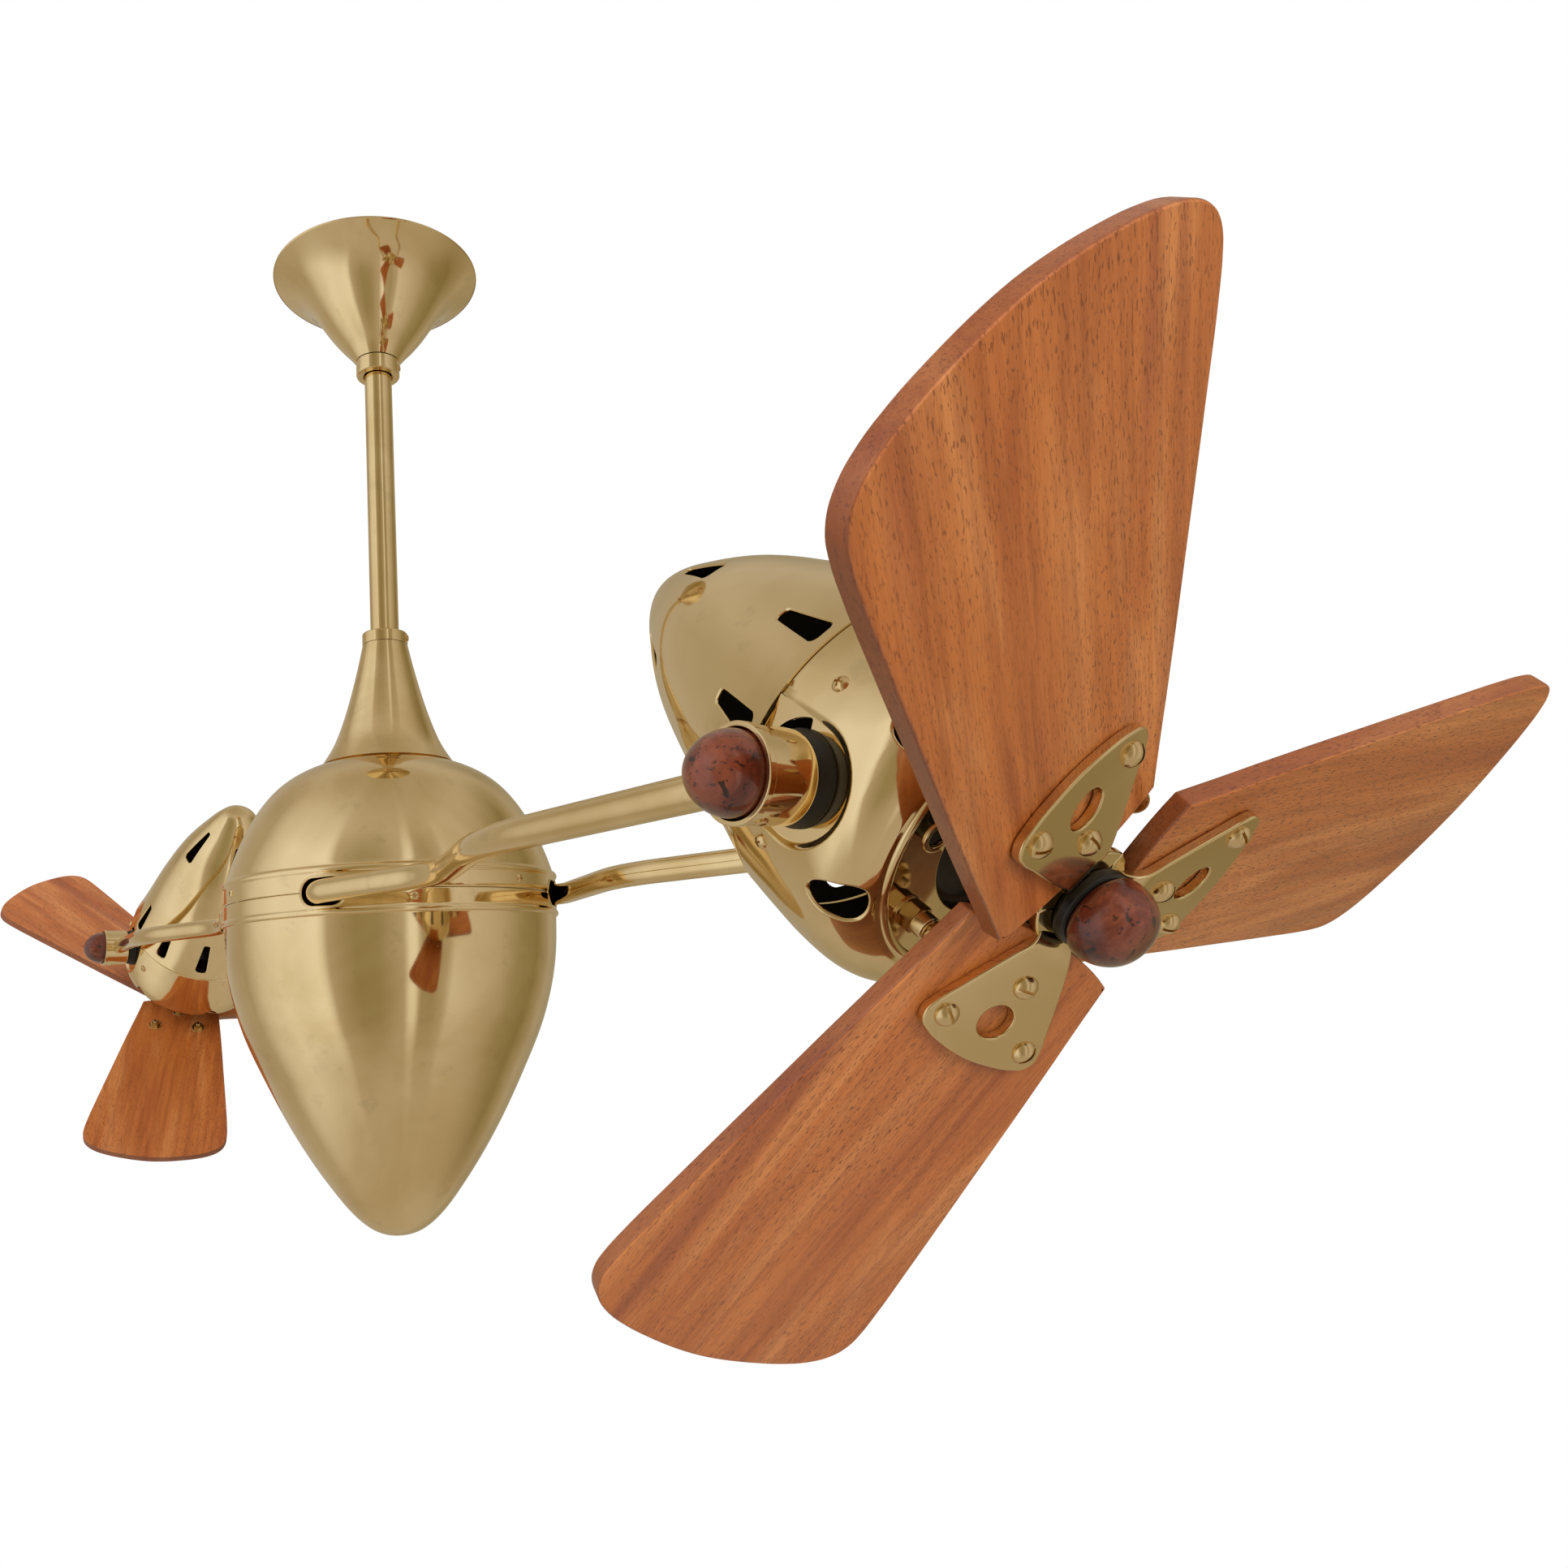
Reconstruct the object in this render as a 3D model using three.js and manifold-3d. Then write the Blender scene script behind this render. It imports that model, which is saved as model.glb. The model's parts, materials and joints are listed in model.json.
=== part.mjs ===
// Dual-head rotational ceiling fan.
// A polished brass pod hangs from a downrod and turns freely about it. Two bent arms
// on each side of the pod carry a tilting motor head, and each head drives a
// three-bladed wooden propeller.
//
// Units are millimetres, +Z is up, the origin is the centre of the ceiling face.
// +X points at the right head; the tilt pivots run along Y.

import * as THREE from 'three';
import { mergeVertices } from 'three/addons/utils/BufferGeometryUtils.js';
import Module from 'manifold-3d';

const wasm = await Module();
wasm.setup();

// ------------------------------------------------------------------ shared values
const GAP = 0.3;                 // clearance left between neighbouring pieces
const SHEET = 1.6;               // sheet thickness of the pod and the pivot pockets
const ARM_Z = -500;              // height of the arms and of the tilt pivots
const PIVOT_X = 475;             // tilt axis of each head
const SIMPLIFY_TOLERANCE = 0.02;

// segments around each kind of round piece
const POD_SEGMENTS = 24;
const CANOPY_SEGMENTS = 20;
const HEAD_SEGMENTS = 20;
const CORE_SEGMENTS = 16;        // rod, spindle and the pieces around them
const SMALL_SEGMENTS = 12;       // pivots, motors and rotor hubs

// ------------------------------------------------------------------ mesh helpers
const rad = THREE.MathUtils.degToRad;
const AXIS_Z = new THREE.Vector3(0, 0, 1);

// merged, non-degenerate triangles with their faces pointing out
function clean(geometry) {
  const bare = geometry.clone();
  for (const name of Object.keys(bare.attributes)) {
    if (name !== 'position') bare.deleteAttribute(name);
  }
  const merged = mergeVertices(bare, 1e-4);
  const corners = merged.index.array;
  const point = (index) => new THREE.Vector3().fromBufferAttribute(merged.attributes.position, index);
  const triangles = [];
  let volume = 0;
  for (let i = 0; i < corners.length; i += 3) {
    const [first, second, third] = corners.slice(i, i + 3);
    if (first === second || second === third || third === first) continue;
    volume += point(first).dot(point(second).cross(point(third)));
    triangles.push(first, second, third);
  }
  if (volume < 0) {
    for (let i = 0; i < triangles.length; i += 3) {
      [triangles[i + 1], triangles[i + 2]] = [triangles[i + 2], triangles[i + 1]];
    }
  }
  merged.setIndex(triangles);
  return merged;
}

function toSolid(geometry) {
  const cleaned = clean(geometry);
  return new wasm.Manifold(new wasm.Mesh({
    numProp: 3,
    vertProperties: new Float32Array(cleaned.attributes.position.array),
    triVerts: new Uint32Array(cleaned.index.array),
  }));
}

function toGeometry(solid) {
  const data = solid.simplify(SIMPLIFY_TOLERANCE).getMesh();
  const geometry = new THREE.BufferGeometry();
  const positions = new Float32Array(data.vertProperties);
  geometry.setAttribute('position', new THREE.BufferAttribute(positions, 3));
  geometry.setIndex(new THREE.BufferAttribute(new Uint32Array(data.triVerts), 1));
  return geometry;
}

// body of revolution about Z from [radius, z] points that start and end on the axis
function turned(profile, segments) {
  const points = profile.map(([radius, z]) => new THREE.Vector2(radius, z));
  const lathe = new THREE.LatheGeometry(points, segments);
  lathe.rotateX(Math.PI / 2);
  return clean(lathe);
}

// ring of revolution about Z: the profile closes on itself
function ring(profile, segments) {
  return turned([...profile, profile[0]], segments);
}

// swings a piece built along +Z to lie along +Y or -Y
function alongY(geometry, sign) {
  return geometry.rotateX(-sign * Math.PI / 2);
}

const toVectors = (outline) => outline.map(([x, y]) => new THREE.Vector2(x, y));

function shapeOf(outline, holes = []) {
  const shape = new THREE.Shape(toVectors(outline));
  for (const hole of holes) shape.holes.push(new THREE.Path(toVectors(hole)));
  return shape;
}

// flat plate in XY between two heights
function plate(outline, from, to, holes) {
  const options = { depth: to - from, bevelEnabled: false };
  const geometry = new THREE.ExtrudeGeometry(shapeOf(outline, holes), options);
  geometry.translate(0, 0, from);
  return clean(geometry);
}

function oval(halfX, halfY, count, centreX = 0, centreY = 0) {
  return Array.from({ length: count }, (_, i) => {
    const angle = i / count * 2 * Math.PI;
    return [centreX + halfX * Math.cos(angle), centreY + halfY * Math.sin(angle)];
  });
}

function circle(radius, count, centreX, centreY) {
  return oval(radius, radius, count, centreX, centreY);
}

// points of an arc, both ends included; angles in degrees
function arc(radius, start, end, steps, centreX = 0, centreY = 0) {
  return Array.from({ length: steps + 1 }, (_, i) => {
    const angle = rad(start + i / steps * (end - start));
    return [centreX + radius * Math.cos(angle), centreY + radius * Math.sin(angle)];
  });
}

// whole outline from its upper half, whose points are [x, half width]
function mirrorEdge(edge) {
  const lower = edge.filter(([, half]) => half > 0).map(([x, half]) => [x, -half]).reverse();
  return [...edge, ...lower];
}

// a frame whose columns are x, y, z, placed at an origin
function frame(x, y, z, origin) {
  return new THREE.Matrix4().makeBasis(x, y, z).setPosition(origin);
}

// radial and tangential directions at an angle about Z, in degrees
function directionsAt(degrees) {
  const angle = rad(degrees);
  return {
    radial: new THREE.Vector3(Math.cos(angle), Math.sin(angle), 0),
    tangent: new THREE.Vector3(-Math.sin(angle), Math.cos(angle), 0),
  };
}

// cutter through a wall between two radii; outline x is tangential, y is along Z
function radialCutter(outline, from, to, degrees, z = 0) {
  const { radial, tangent } = directionsAt(degrees);
  const cutter = plate(outline, from, to);
  cutter.applyMatrix4(frame(tangent, AXIS_Z, radial, new THREE.Vector3(0, 0, z)));
  return toSolid(cutter);
}

// cutter between two distances along +Y or -Y; outline y is along Z
function sideCutter(outline, from, to, sign) {
  const cutter = alongY(plate(outline, from, to), 1);
  cutter.scale(1, sign, -1);
  return toSolid(cutter);
}

// ------------------------------------------------------------------ materials
const metal = (color, roughness) => (
  new THREE.MeshStandardMaterial({ color, metalness: 1, roughness })
);
const matte = (color, roughness) => (
  new THREE.MeshStandardMaterial({ color, metalness: 0, roughness })
);
const POLISHED = 0.16;
const SATIN_STEEL = 0.35;
const BLADE_FINISH = 0.45;
const LACQUERED = 0.2;
const DULL = 0.7;

const brass = metal(0xb59a63, POLISHED);
const steel = metal(0x9a9a96, SATIN_STEEL);
const wood = matte(0xb0673b, BLADE_FINISH);
const finialWood = matte(0x7e3a2a, LACQUERED);
const rubber = matte(0x111111, DULL);
const black = new THREE.MeshStandardMaterial({ color: 0x15130f, metalness: 0.4, roughness: 0.5 });

function mesh(name, geometry, material) {
  const piece = new THREE.Mesh(geometry, material.clone());
  piece.name = name;
  return piece;
}

// ------------------------------------------------------------------ ceiling mount
const ROD_R = 10.65;             // half-inch pipe, outside radius
const ROD_BORE_R = 7.9;
const ROD_TOP_Z = -8;
const ROD_BOTTOM_Z = -400;

const BALL_R = 25;
const BALL_Z = -26;
const BALL_HALF_HEIGHT = 22;     // the ball is cut flat above and below
const HANGER_PIN_R = 3;
const HANGER_PIN_LENGTH = 46;

const COLLAR_R = 17;
const COLLAR_CHAMFER = 0.8;
const CANOPY_RIM_R = 80.5;
const CANOPY_TOP_Z = -0.5;
const CANOPY_BOTTOM_Z = -72.8;
const CANOPY_COLLAR_BOTTOM_Z = -85;

const NECK_COLLAR_TOP_Z = -297;
const NECK_COLLAR_BOTTOM_Z = -306;
const NECK_TOP_Z = NECK_COLLAR_BOTTOM_Z - GAP;
const NECK_BOTTOM_Z = -396.5;

// [radius, z]: plate with a cup whose lip carries the hanger ball
const CEILING_BRACKET = [
  [0, 0], [58, 0], [58, -3], [31, -3], [31, -30],
  [23.5, -45], [19.4, -43.6], [26.2, -30], [26.2, -3], [0, -3],
];

// [radius, z]: down the outside, then up the inside
const CANOPY = [
  [CANOPY_RIM_R, CANOPY_TOP_Z], [CANOPY_RIM_R - 0.3, -2], [64, -12], [55, -21],
  [46.5, -33], [33.5, -52.3], [21.8, -66], [COLLAR_R, CANOPY_BOTTOM_Z],
  [14.6, CANOPY_BOTTOM_Z], [19.6, -65.2], [31.6, -51], [44.8, -31.6],
  [53.4, -19.4], [62.8, -10.4], [78.6, CANOPY_TOP_Z],
];
const NECK_COVER = [
  [16.9, NECK_TOP_Z], [20.3, -321.8], [24.2, -337.6], [28.5, -353.2],
  [33.6, -369], [40, -384.7], [47.3, NECK_BOTTOM_Z],
  [45.2, NECK_BOTTOM_Z], [38.1, -385], [31.9, -369.6], [26.8, -353.8],
  [22.5, -338.2], [18.6, -322.4], [15.2, NECK_TOP_Z],
];

// cylinder along X through the centre of the hanger ball
function crossPin(radius, length) {
  const pin = new THREE.CylinderGeometry(radius, radius, length, 8);
  pin.rotateZ(Math.PI / 2);
  pin.translate(0, 0, BALL_Z);
  return clean(pin);
}

// drills the hanger pin's hole
function drilled(geometry) {
  return toGeometry(toSolid(geometry).subtract(toSolid(crossPin(HANGER_PIN_R + GAP, 80))));
}

function hangerBall() {
  const surface = [];
  for (let i = 0; i <= 6; i++) {
    const height = BALL_HALF_HEIGHT - i * BALL_HALF_HEIGHT / 3;
    surface.push([Math.sqrt(BALL_R ** 2 - height * height), BALL_Z + height]);
  }
  return drilled(ring([
    [ROD_R + GAP, BALL_Z + BALL_HALF_HEIGHT],
    ...surface,
    [ROD_R + GAP, BALL_Z - BALL_HALF_HEIGHT],
  ], CORE_SEGMENTS));
}

function downrod() {
  return drilled(ring([
    [ROD_BORE_R, ROD_TOP_Z], [ROD_R, ROD_TOP_Z],
    [ROD_R, ROD_BOTTOM_Z], [ROD_BORE_R, ROD_BOTTOM_Z],
  ], CORE_SEGMENTS));
}

// collar chamfered at its lower edge
function canopyCollar() {
  const top = CANOPY_BOTTOM_Z - GAP;
  const bottom = CANOPY_COLLAR_BOTTOM_Z;
  return ring([
    [ROD_R + GAP, top], [COLLAR_R, top], [COLLAR_R, bottom + COLLAR_CHAMFER],
    [COLLAR_R - COLLAR_CHAMFER, bottom], [ROD_R + GAP, bottom],
  ], CORE_SEGMENTS);
}

// collar chamfered at its upper edge
function neckCollar() {
  const top = NECK_COLLAR_TOP_Z;
  const bottom = NECK_COLLAR_BOTTOM_Z;
  return ring([
    [ROD_R + GAP, top], [COLLAR_R - COLLAR_CHAMFER, top], [COLLAR_R, top - COLLAR_CHAMFER],
    [COLLAR_R, bottom], [ROD_R + GAP, bottom],
  ], CORE_SEGMENTS);
}

// ------------------------------------------------------------------ spindle and carousel
const SPINDLE_BORE_R = 5;
const SPINDLE_R = 9;
const COUPLING_R = 15;
const COUPLING_Z = [-380, -412];
const FLANGE_R = 13;
const FLANGE_Z = [-532.5, -540];

const SLIP_RING_R = 20;
const SLIP_RING_Z = [-440, -452];

const BEARING_R = 17;
const BEARING_HEIGHT = 9;
const UPPER_BEARING_TOP_Z = -462;
const LOWER_BEARING_TOP_Z = -520;

const BARREL_R = 24;
const BARREL_Z = [-460, -530];
const DISC_R = 61.5;
const DISC_TOP_Z = ARM_Z + 7;
const DISC_BOTTOM_Z = ARM_Z - 7;

// [x, z]: post on the hub disc with a finger that reaches the slip ring
const BRUSH_BLOCK = [
  [27, DISC_TOP_Z + GAP], [36, DISC_TOP_Z + GAP], [36, -437],
  [SLIP_RING_R + 0.4, -437], [SLIP_RING_R + 0.4, -443], [27, -443],
];
const BRUSH_HALF_WIDTH = 8;

// hollow stationary spindle: coupling for the downrod above, bearing journal,
// retaining flange below
function mainSpindle() {
  return ring([
    [SPINDLE_BORE_R, ROD_BOTTOM_Z - GAP], [ROD_R + GAP, ROD_BOTTOM_Z - GAP],
    [ROD_R + GAP, COUPLING_Z[0]], [COUPLING_R, COUPLING_Z[0]],
    [COUPLING_R, COUPLING_Z[1]], [SPINDLE_R, COUPLING_Z[1]],
    [SPINDLE_R, FLANGE_Z[0]], [FLANGE_R, FLANGE_Z[0]],
    [FLANGE_R, FLANGE_Z[1]], [SPINDLE_BORE_R, FLANGE_Z[1]],
  ], CORE_SEGMENTS);
}

// plain ring running on the spindle
function spindleRing(radius, top, bottom) {
  const bore = SPINDLE_R + GAP;
  return ring([[bore, bottom], [radius, bottom], [radius, top], [bore, top]], CORE_SEGMENTS);
}

const bearing = (top) => spindleRing(BEARING_R, top, top - BEARING_HEIGHT);

function carouselHub() {
  const bore = BEARING_R + GAP;
  return ring([
    [bore, BARREL_Z[0]], [BARREL_R, BARREL_Z[0]], [BARREL_R, DISC_TOP_Z], [DISC_R, DISC_TOP_Z],
    [DISC_R, DISC_BOTTOM_Z], [BARREL_R, DISC_BOTTOM_Z], [BARREL_R, BARREL_Z[1]],
    [bore, BARREL_Z[1]],
  ], CORE_SEGMENTS);
}

function brushBlock() {
  return plate(BRUSH_BLOCK, -BRUSH_HALF_WIDTH, BRUSH_HALF_WIDTH).rotateX(Math.PI / 2);
}

// ------------------------------------------------------------------ pod
const POD_R = 118;               // pod body at its band
const POD_INNER_R = POD_R - SHEET;
const BEAD_R = 119.2;            // rolled beads above and below the band
const UPPER_BEAD_Z = -485.7;
const SEAM_Z = -499.3;
const LOWER_BEAD_Z = -511.8;
const POD_TIP_Z = -724;
const OPENING_ANGLE = 46.8;      // arm openings, from the X axis
const OPENING_HALF = 6;          // half the straight run of an opening
const OPENING_R = 9;

// [radius, z]: down the outside, then up the inside
const UPPER_SHELL = [
  [34, -394.5], [47, -398.7], [65, -406], [80.8, -416.8], [94, -432.4], [104.8, -451.6],
  [112.6, -470], [BEAD_R, UPPER_BEAD_Z], [POD_R, SEAM_Z + GAP / 2],
  [POD_INNER_R, SEAM_Z + GAP / 2], [POD_INNER_R, UPPER_BEAD_Z], [110.8, -470.6],
  [92.4, -433.4], [79.4, -418.1], [63.8, -407.4], [34, -396.3],
];
const LOWER_SHELL = [
  [POD_R, SEAM_Z - GAP / 2], [BEAD_R, LOWER_BEAD_Z], [115.1, -545.6], [106.2, -580.9],
  [88.4, -620.2], [67, -659.4], [45.6, -690.8], [29.3, -710.4], [14, -721.6], [3, POD_TIP_Z],
  [3, POD_TIP_Z + SHEET], [13.2, -720], [28.2, -709.1], [65.6, -658.6], [86.9, -619.6],
  [104.6, -580.4], [113.5, -545.3], [POD_INNER_R, LOWER_BEAD_Z + 1],
  [POD_INNER_R, SEAM_Z - GAP / 2],
];

// oval arm openings straddle the seam of the pod
function armOpenings() {
  const outline = [
    ...arc(OPENING_R, -90, 90, 4, OPENING_HALF),
    ...arc(OPENING_R, 90, 270, 4, -OPENING_HALF),
  ];
  const angles = [OPENING_ANGLE, -OPENING_ANGLE, 180 - OPENING_ANGLE, OPENING_ANGLE - 180];
  return angles.map((angle) => radialCutter(outline, 98, 128, angle, SEAM_Z));
}

function podShell(profile) {
  let shell = toSolid(ring(profile, POD_SEGMENTS));
  for (const opening of armOpenings()) shell = shell.subtract(opening);
  return toGeometry(shell);
}

// ------------------------------------------------------------------ arms and pivots
const ARM_R = 7.25;
const ARM_BORE_R = 5.4;
const ARM_STEPS = 24;
// corners of an arm as [x, |y|], and how far from each corner its bend starts
const ARM_PATH = [[40.3, 47.2], [80.2, 93.6], [193, 60.5], [306, 101], [456.9, 85.6]];
const ARM_BENDS = [0, 14, 24, 30, 0];

const PIN_R = 4;                 // pivot bolt shank
const SOCKET_IN = 75.8;          // inner and outer end of the sockets, as |y|
const SOCKET_OUT = 98.6;
const SOCKET_R = 17.2;
const SOCKET_BORE_R = SOCKET_R - 1.4;
const SOCKET_FLOOR_Y = SOCKET_IN + 4.1;
const FINIAL_R = 15.4;           // wooden balls
const FINIAL_BASE = 87;

// [radius, |y|]
const PIVOT_FINIAL = [
  [0, FINIAL_BASE], [FINIAL_R - 0.6, FINIAL_BASE], [FINIAL_R, FINIAL_BASE + 1.2],
  [FINIAL_R, SOCKET_OUT], [14.7, SOCKET_OUT + 5], [12.6, SOCKET_OUT + 10],
  [9, SOCKET_OUT + 14.6], [4.8, SOCKET_OUT + 17.6], [0, SOCKET_OUT + 18.5],
];

// straight runs joined by curves that start and end the bend distance from each corner
function bentPath(corners, bends) {
  const path = new THREE.CurvePath();
  const towards = (i, other) => (
    corners[i].clone().add(corners[other].clone().sub(corners[i]).setLength(bends[i]))
  );
  let from = corners[0];
  for (let i = 1; i < corners.length - 1; i++) {
    const start = towards(i, i - 1);
    const end = towards(i, i + 1);
    path.add(new THREE.LineCurve3(from, start));
    path.add(new THREE.QuadraticBezierCurve3(start, corners[i], end));
    from = end;
  }
  path.add(new THREE.LineCurve3(from, corners[corners.length - 1]));
  return path;
}

function arm(signX, signY) {
  const corners = ARM_PATH.map(([x, y]) => new THREE.Vector3(signX * x, signY * y, ARM_Z));
  return clean(new THREE.ExtrudeGeometry(shapeOf(circle(ARM_R, 8), [circle(ARM_BORE_R, 6)]), {
    steps: ARM_STEPS,
    extrudePath: bentPath(corners, ARM_BENDS),
    bevelEnabled: false,
  }));
}

// lays a piece along the tilt axis of one head
function atPivot(geometry, signX, signY) {
  return alongY(geometry, signY).translate(signX * PIVOT_X, 0, ARM_Z);
}

// cup with a thin rim; its floor takes the pivot bolt
function socket() {
  return ring([
    [PIN_R + GAP, SOCKET_IN], [SOCKET_R, SOCKET_IN], [SOCKET_R, SOCKET_OUT],
    [SOCKET_BORE_R, SOCKET_OUT], [SOCKET_BORE_R, SOCKET_FLOOR_Y], [PIN_R + GAP, SOCKET_FLOOR_Y],
  ], SMALL_SEGMENTS);
}

// ------------------------------------------------------------------ heads
// Head frame: origin on the tilt axis, x up the head, y along the tilt axis,
// z along the rotor axis towards the propeller.
const TILT_REST = -41.2;         // rotor axis from the horizontal at rest, degrees
const PRESSING_PHASE = -2.5;     // side vents, shoulder openings and plate holes, degrees

// [radius, z]
const REAR_OUTER = [
  [0, -185.6], [9, -184.6], [20, -175], [31, -156], [44.2, -128.5], [56.6, -88.5],
  [66.4, -46.2], [72, -24.8], [0, -24.8],
];
const REAR_INNER = [
  [0, -183.9], [8, -183], [18.4, -174.1], [42.6, -127.9], [55, -88], [64.8, -45.8],
  [70.2, -24], [0, -24],
];
const MOUTH_R = 51.6;
const FRONT_OUTER = [
  [0, -24.4], [71.9, -24.4], [73.6, 2], [73.1, 20], [70, 29], [61.5, 36.6], [54, 39.6], [0, 39.6],
];
const FRONT_INNER = [
  [0, -25], [70.3, -25], [72, 2], [71.5, 19.4], [68.8, 27.9], [60.8, 35.1],
  [MOUTH_R, 38.2], [MOUTH_R, 41], [0, 41],
];

// vents, narrow at the rear and wide at the front: z range, half widths, cutter radii
const REAR_VENTS = {
  count: 5, phase: 42, rear: -160.5, front: -128.5,
  rearHalf: 2.2, frontHalf: 6.4, from: 22, to: 60,
};
const SIDE_VENTS = {
  count: 10, phase: 90 + PRESSING_PHASE, rear: -60, front: -31.5,
  rearHalf: 2.8, frontHalf: 5.6, from: 50, to: 85,
};

const POCKET_Y = 65.3;           // floor of the pivot pockets
const POCKET_HALF = 21;
const POCKET_END_Z = 5;          // centre of the pocket's round end
const POCKET_REAR_Z = -22.8;
const SLOT_OUTER_R = 20.2;       // curved cable slot beside the pivot
const SLOT_INNER_R = 13.5;
const SLOT_ANGLES = [-72, -12];

const KIDNEY_COUNT = 6;          // openings on the front shoulder
const KIDNEY_CENTRE = { radius: 67.5, z: 31.2 };
const KIDNEY_NORMAL = { radial: 0.75, axial: 0.66 };

const PLATE_R = 51.2;
const PLATE_Z = [36.1, 37.6];
const PLATE_OPENING_R = 30;
const PLATE_HOLE_R = 4.1;        // four small holes around the opening
const PLATE_HOLE_CIRCLE_R = 36.6;

const MOTOR_R = 44;
const BOLT_START = MOTOR_R + 0.4;
const BOLT_HEAD_R = 7.5;
const BOLT_END = 84.6;

function cutVents(shell, vents) {
  const { rear, front, rearHalf, frontHalf, from, to } = vents;
  const outline = [[-rearHalf, rear], [rearHalf, rear], [frontHalf, front], [-frontHalf, front]];
  let result = shell;
  for (let i = 0; i < vents.count; i++) {
    const angle = vents.phase + 360 / vents.count * i;
    result = result.subtract(radialCutter(outline, from, to, angle));
  }
  return result;
}

function rearShell() {
  const outer = toSolid(turned(REAR_OUTER, HEAD_SEGMENTS));
  const inner = toSolid(turned(REAR_INNER, HEAD_SEGMENTS));
  return toGeometry(cutVents(cutVents(outer.subtract(inner), REAR_VENTS), SIDE_VENTS));
}

// pocket outline, grown outwards to leave the pocket's wall
function pocketOutline(grow) {
  const half = POCKET_HALF + grow;
  const rear = POCKET_REAR_Z - grow;
  return [[-half, rear], [half, rear], ...arc(half, 0, 180, 5, 0, POCKET_END_Z)];
}

// front shell wall with a sunken pocket at each pivot
function pocketedWall() {
  let outer = toSolid(turned(FRONT_OUTER, HEAD_SEGMENTS));
  let inner = toSolid(turned(FRONT_INNER, HEAD_SEGMENTS));
  for (const side of [1, -1]) {
    outer = outer.subtract(sideCutter(pocketOutline(0), POCKET_Y, 100, side));
    inner = inner.subtract(sideCutter(pocketOutline(SHEET), POCKET_Y - SHEET, 100, side));
  }
  return outer.subtract(inner);
}

function boltHole(side) {
  const radius = PIN_R + 3 * GAP;
  const hole = new THREE.CylinderGeometry(radius, radius, 30, 6);
  hole.translate(0, side * 65, 0);
  return toSolid(hole);
}

function cableSlot(side) {
  const outline = [
    ...arc(SLOT_OUTER_R, ...SLOT_ANGLES, 3),
    ...arc(SLOT_INNER_R, ...SLOT_ANGLES, 3).reverse(),
  ];
  return sideCutter(outline, 55, 75, side);
}

function kidneyOpening(degrees) {
  const { radial, tangent } = directionsAt(degrees);
  const normal = radial.clone().multiplyScalar(KIDNEY_NORMAL.radial)
    .addScaledVector(AXIS_Z, KIDNEY_NORMAL.axial).normalize();
  const slope = normal.clone().cross(tangent);
  const centre = radial.clone().multiplyScalar(KIDNEY_CENTRE.radius)
    .addScaledVector(AXIS_Z, KIDNEY_CENTRE.z);
  const cutter = plate(oval(6.2, 11.2, 6), -16, 12);
  cutter.applyMatrix4(frame(tangent, slope, normal, centre));
  return toSolid(cutter);
}

function frontShell() {
  let shell = pocketedWall();
  for (const side of [1, -1]) shell = shell.subtract(boltHole(side)).subtract(cableSlot(side));
  for (let i = 0; i < KIDNEY_COUNT; i++) {
    shell = shell.subtract(kidneyOpening(60 + PRESSING_PHASE + 360 / KIDNEY_COUNT * i));
  }
  return toGeometry(shell);
}

function frontPlate() {
  const holes = [circle(PLATE_OPENING_R, 16)];
  for (let i = 0; i < 4; i++) {
    const { radial } = directionsAt(90 + PRESSING_PHASE + 90 * i);
    const centre = radial.multiplyScalar(PLATE_HOLE_CIRCLE_R);
    holes.push(circle(PLATE_HOLE_R, 6, centre.x, centre.y));
  }
  return plate(circle(PLATE_R, 20), ...PLATE_Z, holes);
}

function motor() {
  return ring([
    [6, -30], [38, -30], [MOTOR_R, -24], [MOTOR_R, 28], [38, 34], [6, 34],
  ], SMALL_SEGMENTS);
}

function washer() {
  return ring([
    [PIN_R + GAP, POCKET_Y + GAP], [16.8, POCKET_Y + GAP], [16.8, 69],
    [15.6, SOCKET_IN - GAP], [PIN_R + GAP, SOCKET_IN - GAP],
  ], SMALL_SEGMENTS);
}

// shank from the motor to the socket floor, with its head inside the socket
function pivotBolt() {
  const headStart = SOCKET_FLOOR_Y + GAP;
  return turned([
    [0, BOLT_START], [PIN_R, BOLT_START], [PIN_R, headStart],
    [BOLT_HEAD_R, headStart], [BOLT_HEAD_R, BOLT_END], [0, BOLT_END],
  ], SMALL_SEGMENTS);
}

// ------------------------------------------------------------------ propellers
const HUB_Z = 76.2;              // hub plane along the rotor axis
const PITCH = 10.2;              // blade pitch, degrees
const BLADE_COUNT = 3;
const BLADE_FACE = -3.4;         // front face of a blade from the hub plane
const BLADE_T = 7;
const BRACKET_T = 3.5;

// [distance from the rotor axis, half width]
const BLADE_EDGE = [
  [16.2, 0], [17.8, 22], [21.4, 38.9], [58, 45.3], [107, 53.6], [155, 61.6], [188, 66.3],
  [200.5, 63.8], [209.5, 51.5], [215.6, 26], [218, 0],
];
const BRACKET_EDGE = [
  [13.6, 8.6], [18, 9.6], [44.5, 25], [56.5, 30.6], [61.5, 27], [65.2, 12.5], [66.2, 0],
];

// [radius, z]
const ROTOR_HUB = [
  [0, -26], [5, -26], [5, 40.5], [11, 40.5], [11, 64], [15.6, 66], [15.6, 71.2],
  [12.4, 71.2], [12.4, HUB_Z + 1.9], [0, HUB_Z + 1.9],
];
// [radius, distance in front of the hub plane]
const HUB_FINIAL = [
  [0, 2.2], [13.4, 2.2], [14.8, 3.8], [15.2, 6], [14.3, 10], [11.7, 14.5],
  [7.6, 18], [3.6, 19.6], [0, 20],
];

function hubFinial() {
  return turned(HUB_FINIAL.map(([radius, rise]) => [radius, HUB_Z + rise]), SMALL_SEGMENTS);
}

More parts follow.
